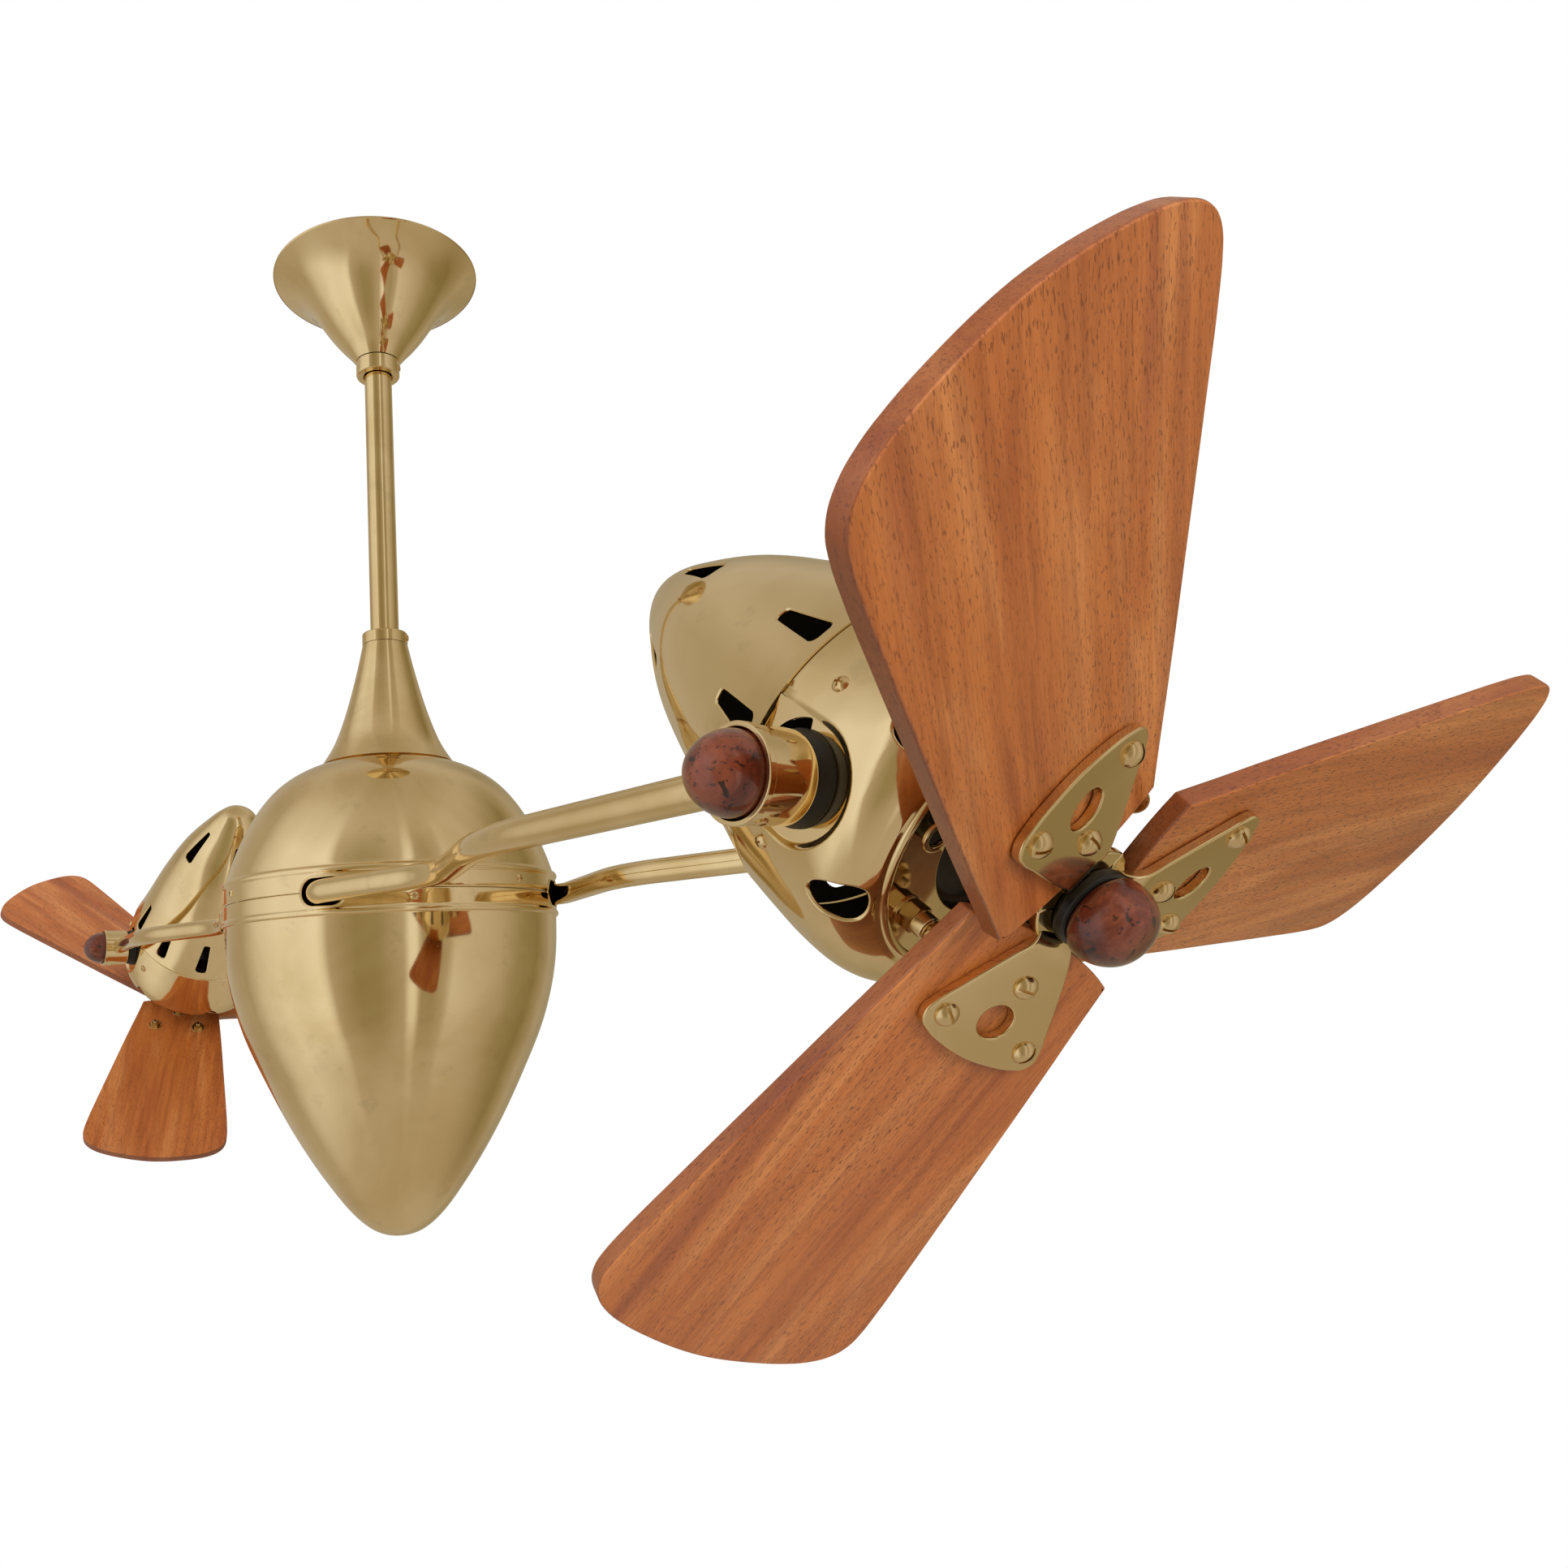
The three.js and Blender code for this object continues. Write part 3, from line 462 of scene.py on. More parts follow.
def spun_shell(prof, ncol, th0, holes, thick=1.4, step=5.0, turn=5.0, scale=60.0):
    tr = prof.rows(step, turn)
    nt = len(tr)
    th = th0 + np.arange(ncol + 1) / ncol * TAU
    TH, TT = (a.ravel() for a in np.meshgrid(th, tr, indexing="ij"))
    keep = np.ones(len(TH), bool)
    for h in holes:
        x, y = h.local(TH, TT)
        idx = np.where((x > h.lo[0]) & (x < h.hi[0]) & (y > h.lo[1]) & (y < h.hi[1]))[0]
        if len(idx):
            keep[idx[sdist(h.poly, np.c_[x[idx], y[idx]]) < h.rim[0][0] + 0.8]] = False
    ident = -np.ones(len(TH), int)
    ident[keep] = np.arange(keep.sum())
    U, T = [TH[keep]], [TT[keep]]
    P, N = prof.at(U[0], T[0])
    V, NN, IN, INN = [P], [N], [P - thick * N], [-N]
    count = len(P)
    loops, info = [], []
    for h in holes:
        vn, _ = vertex_normals(h.poly)
        rings = []
        if h.part:
            ok = (h.poly[:, 1] - h.line) * h.part >= -1e-6
            # start the open chain where the kept run begins
            start = [i for i in range(len(ok)) if ok[i] and not ok[i - 1]][0]
            order = [(start + i) % len(ok) for i in range(len(ok)) if ok[(start + i) % len(ok)]]
        else:
            order = list(range(len(h.poly)))
        for d, depth, tilt in h.rim:
            p = offset(h.poly, d)[order]
            if h.part:
                p[[0, -1], 1] = h.line
            u, t = h.dom(p, th0)
            S, n = prof.at(u, t)
            if h.pocket:
                # pressed wall: depth is the share of the way down to the flat floor
                down = depth * np.maximum(S @ h.er - h.pocket, 0)
                V.append(S - down[:, None] * h.er)
                g = -(vn[order][:, :1] * h.et + vn[order][:, 1:] * np.array([0, 0, 1.0]))
                NN.append(n); IN.append(S - thick * n); INN.append(-n)
            else:
                c, s = np.cos(u), np.sin(u)
                tx = np.c_[-s, c, np.zeros(len(u))]
                a, b = prof.f(prof.dr, t), prof.f(prof.dz, t)
                ty, ax = np.c_[a * c, a * s, b], n
                g = -(vn[order][:, :1] * tx + vn[order][:, 1:] * ty)
                V.append(S - depth * ax)
                NN.append(unit(n * math.cos(tilt) + g * math.sin(tilt)))
                IN.append(S - thick * n)
                INN.append(-n)
            U.append(u); T.append(t)
            idx = np.arange(count, count + len(p))
            loops.append((idx, not h.part))
            rings.append((idx, g))
            count += len(p)
        if h.pocket:
            k = len(h.rim)
            grid = np.stack(V[-k:])
            da, db = np.gradient(grid, axis=0), np.gradient(grid, axis=1)
            nn = unit(np.cross(da, db))
            nn *= np.sign((nn * h.er).sum(-1, keepdims=True) + 1e-9)
            nn[0] = NN[-k]
            nn[-1] = h.er
            for j in range(k):
                NN[j - k], IN[j - k], INN[j - k] = nn[j], grid[j] - thick * nn[j], -nn[j]
        info.append((h, rings, order))
    U, T = np.concatenate(U), np.concatenate(T)
    V, NN, IN, INN = map(np.vstack, (V, NN, IN, INN))
    tri = triangulate(np.c_[U * scale, T], loops)
    cu, ct = U[tri].mean(1), T[tri].mean(1)
    ok = np.ones(len(tri), bool)
    for h in holes:
        x, y = h.local(cu, ct)
        idx = np.where((x > h.lo[0]) & (x < h.hi[0]) & (y > h.lo[1]) & (y < h.hi[1]))[0]
        if len(idx):
            ok[idx[inside(h.poly, np.c_[x[idx], y[idx]])]] = False
    tri = tri[ok]
    # the last column is the first one again
    wrap = np.arange(count)
    last = ident[ncol * nt:ncol * nt + nt]
    first = ident[:nt]
    for a, b in zip(last, first):
        if a >= 0 and b >= 0:
            wrap[a] = b
    geo = Geo()
    geo.add(V, NN, wrap[tri])
    geo.add(IN, INN, wrap[tri], k=1)
    for h, rings, order in info:
        idx, g = rings[-1]
        if not h.pocket:
            strip(geo, V[idx], IN[idx], g, g, not h.part)
    # edges of the sheet
    for end, t_end in ((0, tr[0]), (1, tr[-1])):
        if prof.apex[end]:
            continue
        on = np.where(np.abs(T - t_end) < 1e-6)[0]
        on = on[np.argsort(U[on])]
        cu = (U[on][:-1] + U[on][1:]) / 2
        ok = np.ones(len(cu), bool)
        for h in holes:
            x, y = h.local(cu, np.full(len(cu), t_end))
            ok &= ~inside(h.poly, np.c_[x, y + 1e-3 * h.part])
        a, b = on[:-1][ok], on[1:][ok]
        s = -1 if end == 0 else 1
        c, sn = np.cos(U[on]), np.sin(U[on])
        m = s * np.c_[prof.dr[-1 if end else 0] * c, prof.dr[-1 if end else 0] * sn, np.full(len(on), prof.dz[-1 if end else 0])]
        lut = {k: i for i, k in enumerate(on)}
        ia, ib = np.array([lut[k] for k in a]), np.array([lut[k] for k in b])
        n = len(on)
        geo.add(np.vstack([V[on], IN[on]]), np.vstack([m, m]), np.c_[ia, ib, ib + n, ia + n])
    return geo, info, V, IN


# ------------------------------------------------------------------ materials
def lin(hexcode):
    out = []
    for i in (0, 2, 4):
        c = int(hexcode[i:i + 2], 16) / 255
        out.append(c / 12.92 if c <= 0.04045 else ((c + 0.055) / 1.055) ** 2.4)
    return (*out, 1.0)


class Nodes:
    def __init__(self, name):
        self.mat = bpy.data.materials.new(name)
        self.mat.use_nodes = True
        self.nt = self.mat.node_tree
        self.nt.nodes.clear()
        self.out = self.nt.nodes.new("ShaderNodeOutputMaterial")
        self.bsdf = self.nt.nodes.new("ShaderNodeBsdfPrincipled")
        self.nt.links.new(self.bsdf.outputs[0], self.out.inputs[0])

    def new(self, kind, **props):
        n = self.nt.nodes.new("ShaderNode" + kind)
        for k, v in props.items():
            setattr(n, k, v)
        return n

    def link(self, a, b):
        self.nt.links.new(a, b)

    def put(self, socket, value):
        s = self.bsdf.inputs[socket]
        if hasattr(value, "is_linked"):
            self.link(value, s)
        else:
            s.default_value = value

    def coords(self, scale=(1, 1, 1), jitter=0.0, offset=(0, 0, 0)):
        tc = self.new("TexCoord")
        mp = self.new("Mapping")
        mp.inputs["Scale"].default_value = scale
        self.link(tc.outputs["Object"], mp.inputs["Vector"])
        if jitter:
            info = self.new("ObjectInfo")
            mul = self.new("VectorMath", operation="SCALE")
            mul.inputs[0].default_value = (37.3, 11.7, 23.9)
            self.link(info.outputs["Random"], mul.inputs["Scale"])
            self.link(mul.outputs[0], mp.inputs["Location"])
        else:
            mp.inputs["Location"].default_value = offset
        return mp.outputs[0]

    def noise(self, vec, scale, detail=3.0, rough=0.5, distort=0.0):
        n = self.new("TexNoise")
        n.inputs["Scale"].default_value = scale
        n.inputs["Detail"].default_value = detail
        n.inputs["Roughness"].default_value = rough
        n.inputs["Distortion"].default_value = distort
        self.link(vec, n.inputs["Vector"])
        return n.outputs["Fac"]

    def ramp(self, fac, stops, smooth=False):
        r = self.new("ValToRGB")
        r.color_ramp.interpolation = "EASE" if smooth else "LINEAR"
        els = r.color_ramp.elements
        while len(els) < len(stops):
            els.new(0.5)
        for e, (p, c) in zip(els, stops):
            e.position = p
            e.color = c if isinstance(c, tuple) else (c, c, c, 1)
        self.link(fac, r.inputs[0])
        return r.outputs[0]

    def mix(self, fac, a, b, blend="MIX"):
        m = self.new("Mix", data_type="RGBA", blend_type=blend)
        for s, v in ((m.inputs[0], fac), (m.inputs[6], a), (m.inputs[7], b)):
            if hasattr(v, "is_linked"):
                self.link(v, s)
            else:
                s.default_value = v
        return m.outputs[2]

    def math(self, op, a, b=0.0, clamp=False):
        m = self.new("Math", operation=op, use_clamp=clamp)
        for s, v in ((m.inputs[0], a), (m.inputs[1], b)):
            if hasattr(v, "is_linked"):
                self.link(v, s)
            else:
                s.default_value = v
        return m.outputs[0]

    def bump(self, height, strength, distance=0.001):
        b = self.new("Bump")
        b.inputs["Strength"].default_value = strength
        b.inputs["Distance"].default_value = distance
        self.link(height, b.inputs["Height"])
        self.put("Normal", b.outputs[0])


def brass_material(name="brass", base="EDD6A6", rough=0.055, vary=0.04):
    n = Nodes(name)
    v = n.coords()
    cloud = n.noise(v, 9.0, 4.0, 0.6, 0.4)
    spots = n.noise(v, 55.0, 3.0, 0.6)
    fine = n.noise(n.coords((1, 1, 1)), 420.0, 2.0, 0.5)
    c = lin(base)
    dark = tuple(x * k for x, k in zip(c[:3], (0.86, 0.82, 0.72))) + (1,)
    tone = n.ramp(cloud, [(0.35, dark), (0.62, c)], True)
    stain = n.ramp(spots, [(0.30, 1.0), (0.40, 0.0)], True)
    tone = n.mix(n.math("MULTIPLY", stain, 0.22), tone, tuple(x * 0.6 for x in c[:3]) + (1,))
    n.put("Base Color", tone)
    n.put("Metallic", 1.0)
    r = n.math("ADD", n.math("MULTIPLY", spots, vary), rough - vary * 0.5)
    r = n.math("ADD", r, n.math("MULTIPLY", fine, 0.03))
    n.put("Roughness", r)
    n.put("IOR", 1.5)
    ripple = n.math("ADD", n.math("MULTIPLY", n.noise(v, 16.0, 1.0, 0.4), 0.9), n.math("MULTIPLY", fine, 0.02))
    n.bump(ripple, 0.10, 0.0012)
    return n.mat


def wood_material(name, tones, streak, pore, coat=0.2, rough=0.36):
    """Long grain along the blade with short dark pore flecks."""
    n = Nodes(name)
    warp = n.noise(n.coords((6, 9, 9), 1.0), 1.0, 2.0, 0.5)
    bands = n.noise(n.coords((4.5, 30, 30), 1.0), 1.0, 3.0, 0.5, 0.8)
    lines = n.noise(n.coords((12, 170, 170), 1.0), 1.0, 4.0, 0.6, 0.5)
    hairs = n.noise(n.coords((45, 950, 950), 1.0), 1.0, 3.0, 0.6, 0.2)
    flecks = n.noise(n.coords((330, 1500, 1500), 1.0), 1.0, 1.0, 0.5, 0.35)
    col = n.ramp(bands, [(0.28, tones[0]), (0.46, tones[1]), (0.60, tones[2]), (0.76, tones[1])], True)
    dark = n.ramp(n.noise(n.coords((2.0, 24, 24), 1.0), 1.0, 2.0, 0.5, 1.4), [(0.54, 0.0), (0.70, 1.0)], True)
    col = n.mix(n.math("MULTIPLY", dark, 0.45), col, streak)
    col = n.mix(n.ramp(lines, [(0.34, 0.32), (0.58, 0.0)]), col, streak, "MULTIPLY")
    col = n.mix(n.ramp(hairs, [(0.36, 0.26), (0.56, 0.0)]), col, tuple(x * 0.55 for x in tones[0][:3]) + (1,))
    mask = n.ramp(flecks, [(0.345, 1.0), (0.40, 0.0)])
    mask = n.math("MULTIPLY", mask, n.ramp(warp, [(0.34, 0.35), (0.56, 1.0)]))
    col = n.mix(n.math("MULTIPLY", mask, 0.7), col, pore)
    # the sawn edges are darker than the faces
    sep = n.new("SeparateXYZ")
    n.link(n.new("TexCoord").outputs["Normal"], sep.inputs[0])
    edge = n.ramp(n.math("ABSOLUTE", sep.outputs[2]), [(0.55, 0.62), (0.93, 0.0)], True)
    col = n.mix(edge, col, tuple(x * 0.42 for x in streak[:3]) + (1,))
    n.put("Base Color", col)
    n.put("Roughness", n.math("ADD", rough - 0.05, n.math("MULTIPLY", lines, 0.16)))
    n.put("Coat Weight", coat)
    n.put("Coat Roughness", 0.24)
    n.put("Specular IOR Level", 0.5)
    n.bump(n.math("ADD", n.math("MULTIPLY", mask, -0.7), n.math("MULTIPLY", hairs, 0.35)), 0.3, 0.0003)
    return n.mat


def finial_material():
    n = Nodes("finial_wood")
    v = n.coords((1, 1, 1), 1.0)
    cloud = n.noise(v, 60.0, 4.0, 0.6, 0.8)
    streak = n.noise(n.coords((45, 45, 170), 1.0), 2.0, 3.0, 0.6, 0.5)
    col = n.ramp(cloud, [(0.30, lin("3A1208")), (0.48, lin("572212")), (0.64, lin("753822"))], True)
    col = n.mix(n.ramp(streak, [(0.38, 0.4), (0.60, 0.0)]), col, lin("4A150C"))
    big = n.ramp(n.noise(v, 150.0, 2.0, 0.5, 0.8), [(0.33, 1.0), (0.38, 0.0)])
    small = n.ramp(n.noise(v, 480.0, 2.0, 0.6, 0.3), [(0.34, 1.0), (0.40, 0.0)])
    speck = n.math("MAXIMUM", big, n.math("MULTIPLY", small, 0.8))
    n.put("Base Color", n.mix(n.math("MULTIPLY", speck, 0.92), col, lin("160706")))
    n.put("Roughness", 0.32)
    n.put("Specular IOR Level", 0.35)
    n.put("Coat Weight", 0.7)
    n.put("Coat Roughness", 0.07)
    n.bump(n.math("MULTIPLY", speck, -1.0), 0.15, 0.0003)
    return n.mat


def plain_material(name, colour, rough, metal=0.0, grain=300.0, amount=0.25, bump=0.2):
    n = Nodes(name)
    v = n.coords((1, 1, 1), 1.0)
    g = n.noise(v, grain, 4.0, 0.6)
    soft = n.noise(v, grain / 12, 2.0, 0.5)
    a = tuple(x * (1 - amount) for x in colour[:3]) + (1,)
    b = tuple(min(1, x * (1 + amount)) for x in colour[:3]) + (1,)
    n.put("Base Color", n.ramp(soft, [(0.35, a), (0.65, b)]))
    n.put("Metallic", metal)
    n.put("Roughness", n.math("ADD", rough - 0.08, n.math("MULTIPLY", g, 0.16)))
    n.bump(g, bump, 0.0003)
    return n.mat


BRASS = brass_material()
BRASS_SCREW = brass_material("brass_fastener", "E9D0A0", 0.2, 0.08)
# inside faces of the sheet shells: a dull dark finish, made darker still as painted shade so the vents and openings
# read black
INSIDE_DULL_SHADE = plain_material("sheet_inside_dull_painted_shade", lin("2A2313"), 0.5, 0.6, 180.0, 0.3, 0.2)
WOOD = wood_material("blade_wood", (lin("A45524"), lin("B5672E"), lin("C47B42")), lin("8A4630"), lin("54220C"))
FINIAL = finial_material()
RUBBER = plain_material("black_rubber", lin("0E0E0D"), 0.55, 0.0, 500.0, 0.3, 0.3)
BLACK = plain_material("black_enamel", lin("14120F"), 0.4, 0.0, 220.0, 0.3, 0.25)
STEEL = plain_material("zinc_steel", lin("8E8C86"), 0.36, 1.0, 260.0, 0.18, 0.15)


# ------------------------------------------------------------------ placing pieces
def put(name, mesh, material, body, matrix=None, nodes=()):
    o = bpy.data.objects.new(name, mesh)
    bpy.context.scene.collection.objects.link(o)
    if not mesh.materials:
        mesh.materials.append(material)
        # inside faces take the dark inside material, which carries painted shade
        if any(q.material_index for q in mesh.polygons):
            mesh.materials.append(INSIDE_DULL_SHADE)
    if matrix is not None:
        m = np.array(matrix, float).copy()
        m[:3, 3] *= MM
        o.matrix_world = Matrix(m.tolist())
    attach(o, body)
    if nodes:
        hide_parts(*nodes)
    return o


# ------------------------------------------------------------------ canopy, rod, neck
canopy_out = Profile(hermite([(80.2, -1.8), (73.5, -5.6), (64, -12), (55, -21), (46.5, -33), (39.5, -44), (33.5, -52.3), (27.2, -60), (21.8, -66), (17.2, -72.6)], 1), 4)
geo = Geo()
P, N = canopy_out.table(3.0, 4.0)
revolve(P, N, 128, geo)
Pi, Ni = P - 1.4 * N, -N
revolve(Pi[::-1], Ni[::-1], 128, geo)
lip, lipn = filleted([tuple(Pi[0]), (80.2, -0.5), (80.9, -0.9), tuple(P[0])], 0.4, sign=-1)
lip, lipn = filleted([(78.6, -0.4), (80.6, -0.4), (81.1, -1.2), (80.2, -2.0)], [0, 0.5, 0.5, 0])
revolve(lip, lipn, 128, geo)
revolve(np.array([P[-1], Pi[-1]]), np.array([[0, -1.0], [0, -1.0]]), 128, geo)
put("canopy_cover", geo.mesh("canopy_cover"), BRASS, "mount", None, ["canopy"])


def collar(z1, z0, r0, r1, top, bottom):
    return filleted([(r0, z1), (r1, z1), (r1, z0), (r0, z0)], [0.3, top, bottom, 0.3], closed=True)


P, N = collar(-73.1, -85, 11.7, 17, 0.4, 1.6)
put("canopy_collar_ring", revolve(P, N, 96).mesh("canopy_collar_ring"), BRASS, "mount", None, ["canopy_collar"])
P, N = collar(-297, -306, 10.95, 17, 1.4, 0.5)
put("neck_collar_ring", revolve(P, N, 96).mesh("neck_collar_ring"), BRASS, "mount", None, ["neck_collar"])

P, N = filleted([(10.65, -8), (10.65, -400), (7.9, -400), (7.9, -8)], 0.5, closed=True)
Q, M = [], []
for i in range(len(P) - 1):
    k = max(1, int(abs(P[i + 1, 1] - P[i, 1]) / 40))
    for j in range(k):
        Q.append(P[i] + (P[i + 1] - P[i]) * j / k)
        M.append(N[i] + (N[i + 1] - N[i]) * j / k)
Q.append(P[-1]); M.append(N[-1])
put("downrod_pipe", revolve(np.array(Q), unit(np.array(M)), 72).mesh("downrod_pipe"), BRASS, "mount", None, ["downrod"])

neck = Profile(hermite([(16.9, -306.3), (20.3, -321.8), (24.2, -337.6), (28.5, -353.2), (33.6, -369), (40, -384.7), (48.5, -398.4)], 1), 4)
geo = Geo()
P, N = neck.table(4.0, 4.0)
revolve(P, N, 112, geo)
revolve((P - 1.4 * N)[::-1], -N[::-1], 112, geo)
revolve(np.array([P[-1], P[-1] - 1.4 * N[-1]]), np.array([[0.3, -1.0], [0.3, -1.0]]), 112, geo)
revolve(np.array([P[0] - 1.4 * N[0], P[0]]), np.array([[0, 1.0], [0, 1.0]]), 112, geo)
put("neck_cover_trumpet", geo.mesh("neck_cover_trumpet"), BRASS, "mount", None, ["neck_cover"])

# ------------------------------------------------------------------ pod
SEAM = -499.3


def arc(cx, cy, r, a0, a1, n):
    t = np.radians(np.linspace(a0, a1, n))
    return np.c_[cx + r * np.cos(t), cy + r * np.sin(t)]


dome = Profile(hermite([(34, -394.5), (47, -398.7), (65, -406), (80.8, -416.8), (94, -432.4), (104.8, -451.6), (112.6, -470), (116.6, -483.2)], 1), 6)
upper = Profile(np.vstack([np.c_[dome.r, dome.z][::8], arc(116.9, -485.6, 2.3, 78, -50, 12), [(118, -488.2), (118, -493), (118, -498.6), (117.5, -499.15)]]), 0.3)
bowl = Profile(hermite([(117.4, -514.6), (116.8, -530), (115.1, -545.6), (106.2, -580.9), (88.4, -620.2), (67, -659.4), (45.6, -690.8), (29.3, -710.4), (16.2, -720.6), (8, -723.4), (0, -724)], 1), 6, axis1=True)
lower = Profile(np.vstack([[(117.5, -499.45), (118, -500.0), (118, -505), (118, -509.4)], arc(116.9, -511.9, 2.3, 50, -78, 12), np.c_[bowl.r, bowl.z][::6], [(0, bowl.z[-1])]]), 0.3, axis1=True)


def stadium(half, r, n=10):
    a = np.linspace(-math.pi / 2, math.pi / 2, 2 * n + 1)
    right = np.c_[half + r * np.cos(a), r * np.sin(a)]
    left = np.c_[-half - r * np.cos(a), -r * np.sin(a)]
    mid = np.linspace(half, -half, 9)[1:-1]
    return np.vstack([right, np.c_[mid, np.full(7, r)], left, np.c_[-mid, np.full(7, -r)]])


LIP = [(2.3, 0.0, 0.0), (1.95, -0.08, -0.45), (1.5, -0.42, -0.6), (1.05, -0.7, -0.25), (0.65, -0.74, 0.25), (0.28, -0.52, 0.9), (0.05, -0.1, 1.4), (0.0, 0.4, math.pi / 2)]
ARM_ANGLES = [math.radians(a) for a in (46.8, 133.2, 226.8, 313.2)]
for name, prof, tc, part, node in (("upper_shell_dome", upper, upper.t[-1], -1, "upper_shell"), ("lower_shell_bowl", lower, 0.0, 1, "lower_shell")):
    holes = [Hole(prof, a, tc, stadium(6, 8.5), LIP, part=part) for a in ARM_ANGLES]
    geo, *_ = spun_shell(prof, 180, 0.0, holes, 1.5, 6.0, 5.0, 110.0)
    put(name, geo.mesh(name), BRASS, "carousel", None, [node])

# ------------------------------------------------------------------ arms, sockets, finials
ARM_PATH = [(40.3, 47.2), (80.2, 93.6), (193, 60.5), (306, 101), (459.0, 85.4)]
BENDS = [0, 16, 30, 36, 0]


def bent_path():
    p = np.array(ARM_PATH, float)
    out, start = [], p[0]
    for i in range(1, len(p) - 1):
        a = p[i] + unit(p[i - 1] - p[i]) * BENDS[i]
        b = p[i] + unit(p[i + 1] - p[i]) * BENDS[i]
        k = max(1, int(np.linalg.norm(a - start) / 12))
        out.append(start + (a - start) * (np.arange(k) / k)[:, None])
        u = (np.arange(14) / 14)[:, None]
        out.append((1 - u) ** 2 * a + 2 * u * (1 - u) * p[i] + u**2 * b)
        start = b
    k = max(1, int(np.linalg.norm(p[-1] - start) / 12))
    out.append(start + (p[-1] - start) * (np.arange(k + 1) / k)[:, None])
    return np.vstack(out)


def sweep(path, r, ncol, geo, z, inner=False):
    tan = unit(np.gradient(path, axis=0))
    left = np.c_[-tan[:, 1], tan[:, 0]]
    a = np.arange(ncol) / ncol * TAU
    ring = np.stack([np.outer(np.cos(a), left[i]) for i in range(len(path))])
    n = np.concatenate([ring, np.broadcast_to(np.sin(a)[None, :, None], (len(path), ncol, 1))], -1)
    v = n * r
    v[..., :2] += path[:, None, :]
    v[..., 2] += z
    k = len(path)
    i, j = np.meshgrid(np.arange(k - 1), np.arange(ncol), indexing="ij")
    q = np.stack([i * ncol + j, i * ncol + (j + 1) % ncol, (i + 1) * ncol + (j + 1) % ncol, (i + 1) * ncol + j], -1).reshape(-1, 4)
    return geo.add(v.reshape(-1, 3), (-n if inner else n).reshape(-1, 3), q)


def arm_mesh():
    path = bent_path()
    geo = Geo()
    sweep(path, 7.25, 40, geo, -500)
    sweep(path, 5.4, 24, geo, -500, True)
    # pipe ends
    for at, s in ((0, -1), (-1, 1)):
        tan = unit(path[1] - path[0]) if at == 0 else unit(path[-1] - path[-2])
        left = np.array([-tan[1], tan[0], 0])
        a = np.arange(40) / 40 * TAU
        d = np.outer(np.cos(a), left) + np.outer(np.sin(a), [0, 0, 1.0])
        c = np.array([*path[at], -500])
        n = np.tile([*(tan * s), 0], (40, 1))
        strip(geo, c + d * 7.25, c + d * 5.4, n, n)
    return geo.mesh("arm_pipe")


arm = arm_mesh()
P, N = filleted([(4.3, -75.8), (17.2, -75.8), (17.2, -98.6), (15.8, -98.6), (15.8, -79.9), (4.3, -79.9)], [0.3, 1.6, 0.5, 0.4, 0.8, 0.3], closed=True)
# thin raised rim at the mouth of the cup
P2, N2 = filleted([(17.2, -97.0), (17.2, -96.0), (17.9, -96.0), (17.9, -98.9), (15.9, -98.9), (15.9, -97.6)], [0, 0.1, 0.3, 0.5, 0.4, 0])
socket = Geo()
revolve(P * [1, -1], N * [1, -1], 96, socket)
revolve(P2 * [1, -1], N2 * [1, -1], 96, socket)
socket = socket.mesh("socket_cup")
fin = Profile(np.vstack([[(15.2, 97.6)], hermite([(15.4, 98.6), (15.3, 101), (14.8, 104), (13.6, 107.3), (11.6, 110.8), (8.9, 113.7), (5.6, 115.9), (2.6, 116.9), (0, 117.1)], 0.5)]), 1.2, -1, axis1=True)
P, N = fin.table(1.5, 4.0)
base, basen = filleted([(0, 87), (14.8, 87), (15.4, 88.2), tuple(P[0])], [0, 0.4, 0.4, 0], sign=-1)
finial = Geo()
revolve(base, basen, 80, finial)
revolve(P, N, 80, finial)
finial = finial.mesh("pivot_ball")


def mirror_mesh(mesh, name):
    """The same mesh mirrored in y."""
    me = mesh.copy()
    me.name = name
    n = len(me.vertices)
    co = np.zeros(n * 3, np.float32)
    me.vertices.foreach_get("co", co)
    co = co.reshape(-1, 3)
    co[:, 1] *= -1
    nn = np.zeros(len(me.corner_normals) * 3, np.float32)
    me.corner_normals.foreach_get("vector", nn)
    nn = nn.reshape(-1, 3)
    nn[:, 1] *= -1
    me.vertices.foreach_set("co", co.ravel())
    # corner order reverses with the winding: the first corner stays
    loops = np.zeros(len(me.loops), np.int32)
    start = np.zeros(len(me.polygons), np.int32)
    total = np.zeros(len(me.polygons), np.int32)
    me.polygons.foreach_get("loop_start", start)
    me.polygons.foreach_get("loop_total", total)
    order = np.concatenate([np.r_[s, np.arange(s + t - 1, s, -1)] for s, t in zip(start, total)])
    me.flip_normals()
    me.normals_split_custom_set(nn[order].tolist())
    me.update()
    return me


arm_m = mirror_mesh(arm, "arm_pipe_m")
for side, sx in (("right", 1), ("left", -1)):
    for face, sy in (("a", -sx), ("b", sx)):
        tag = f"{side}_{face}"
        # a half turn about z swaps both signs, so each arm is one of two hands
        m = np.eye(4) if sx > 0 else rot("Z", 180)
        put(f"arm_pipe_{tag}", arm if sx * sy > 0 else arm_m, BRASS, "carousel", m, [f"arm_{tag}"])
        m = shift(sx * 475, 0, -500) @ rot("X", -sy * 90)
        put(f"socket_cup_{tag}", socket, BRASS, "carousel", m, [f"socket_{tag}"])
        put(f"pivot_ball_{tag}", finial, FINIAL, "carousel", m, [f"pivot_finial_{tag}"])

# ------------------------------------------------------------------ heads
TILT = math.radians(-41.2)
cT, sT = math.cos(TILT), math.sin(TILT)
HEAD = {"right": basis((-sT, 0, cT), (0, -1, 0), (cT, 0, sT), (475, 0, -500))}
HEAD["left"] = rot("Z", 180) @ HEAD["right"]
PH = -2.5

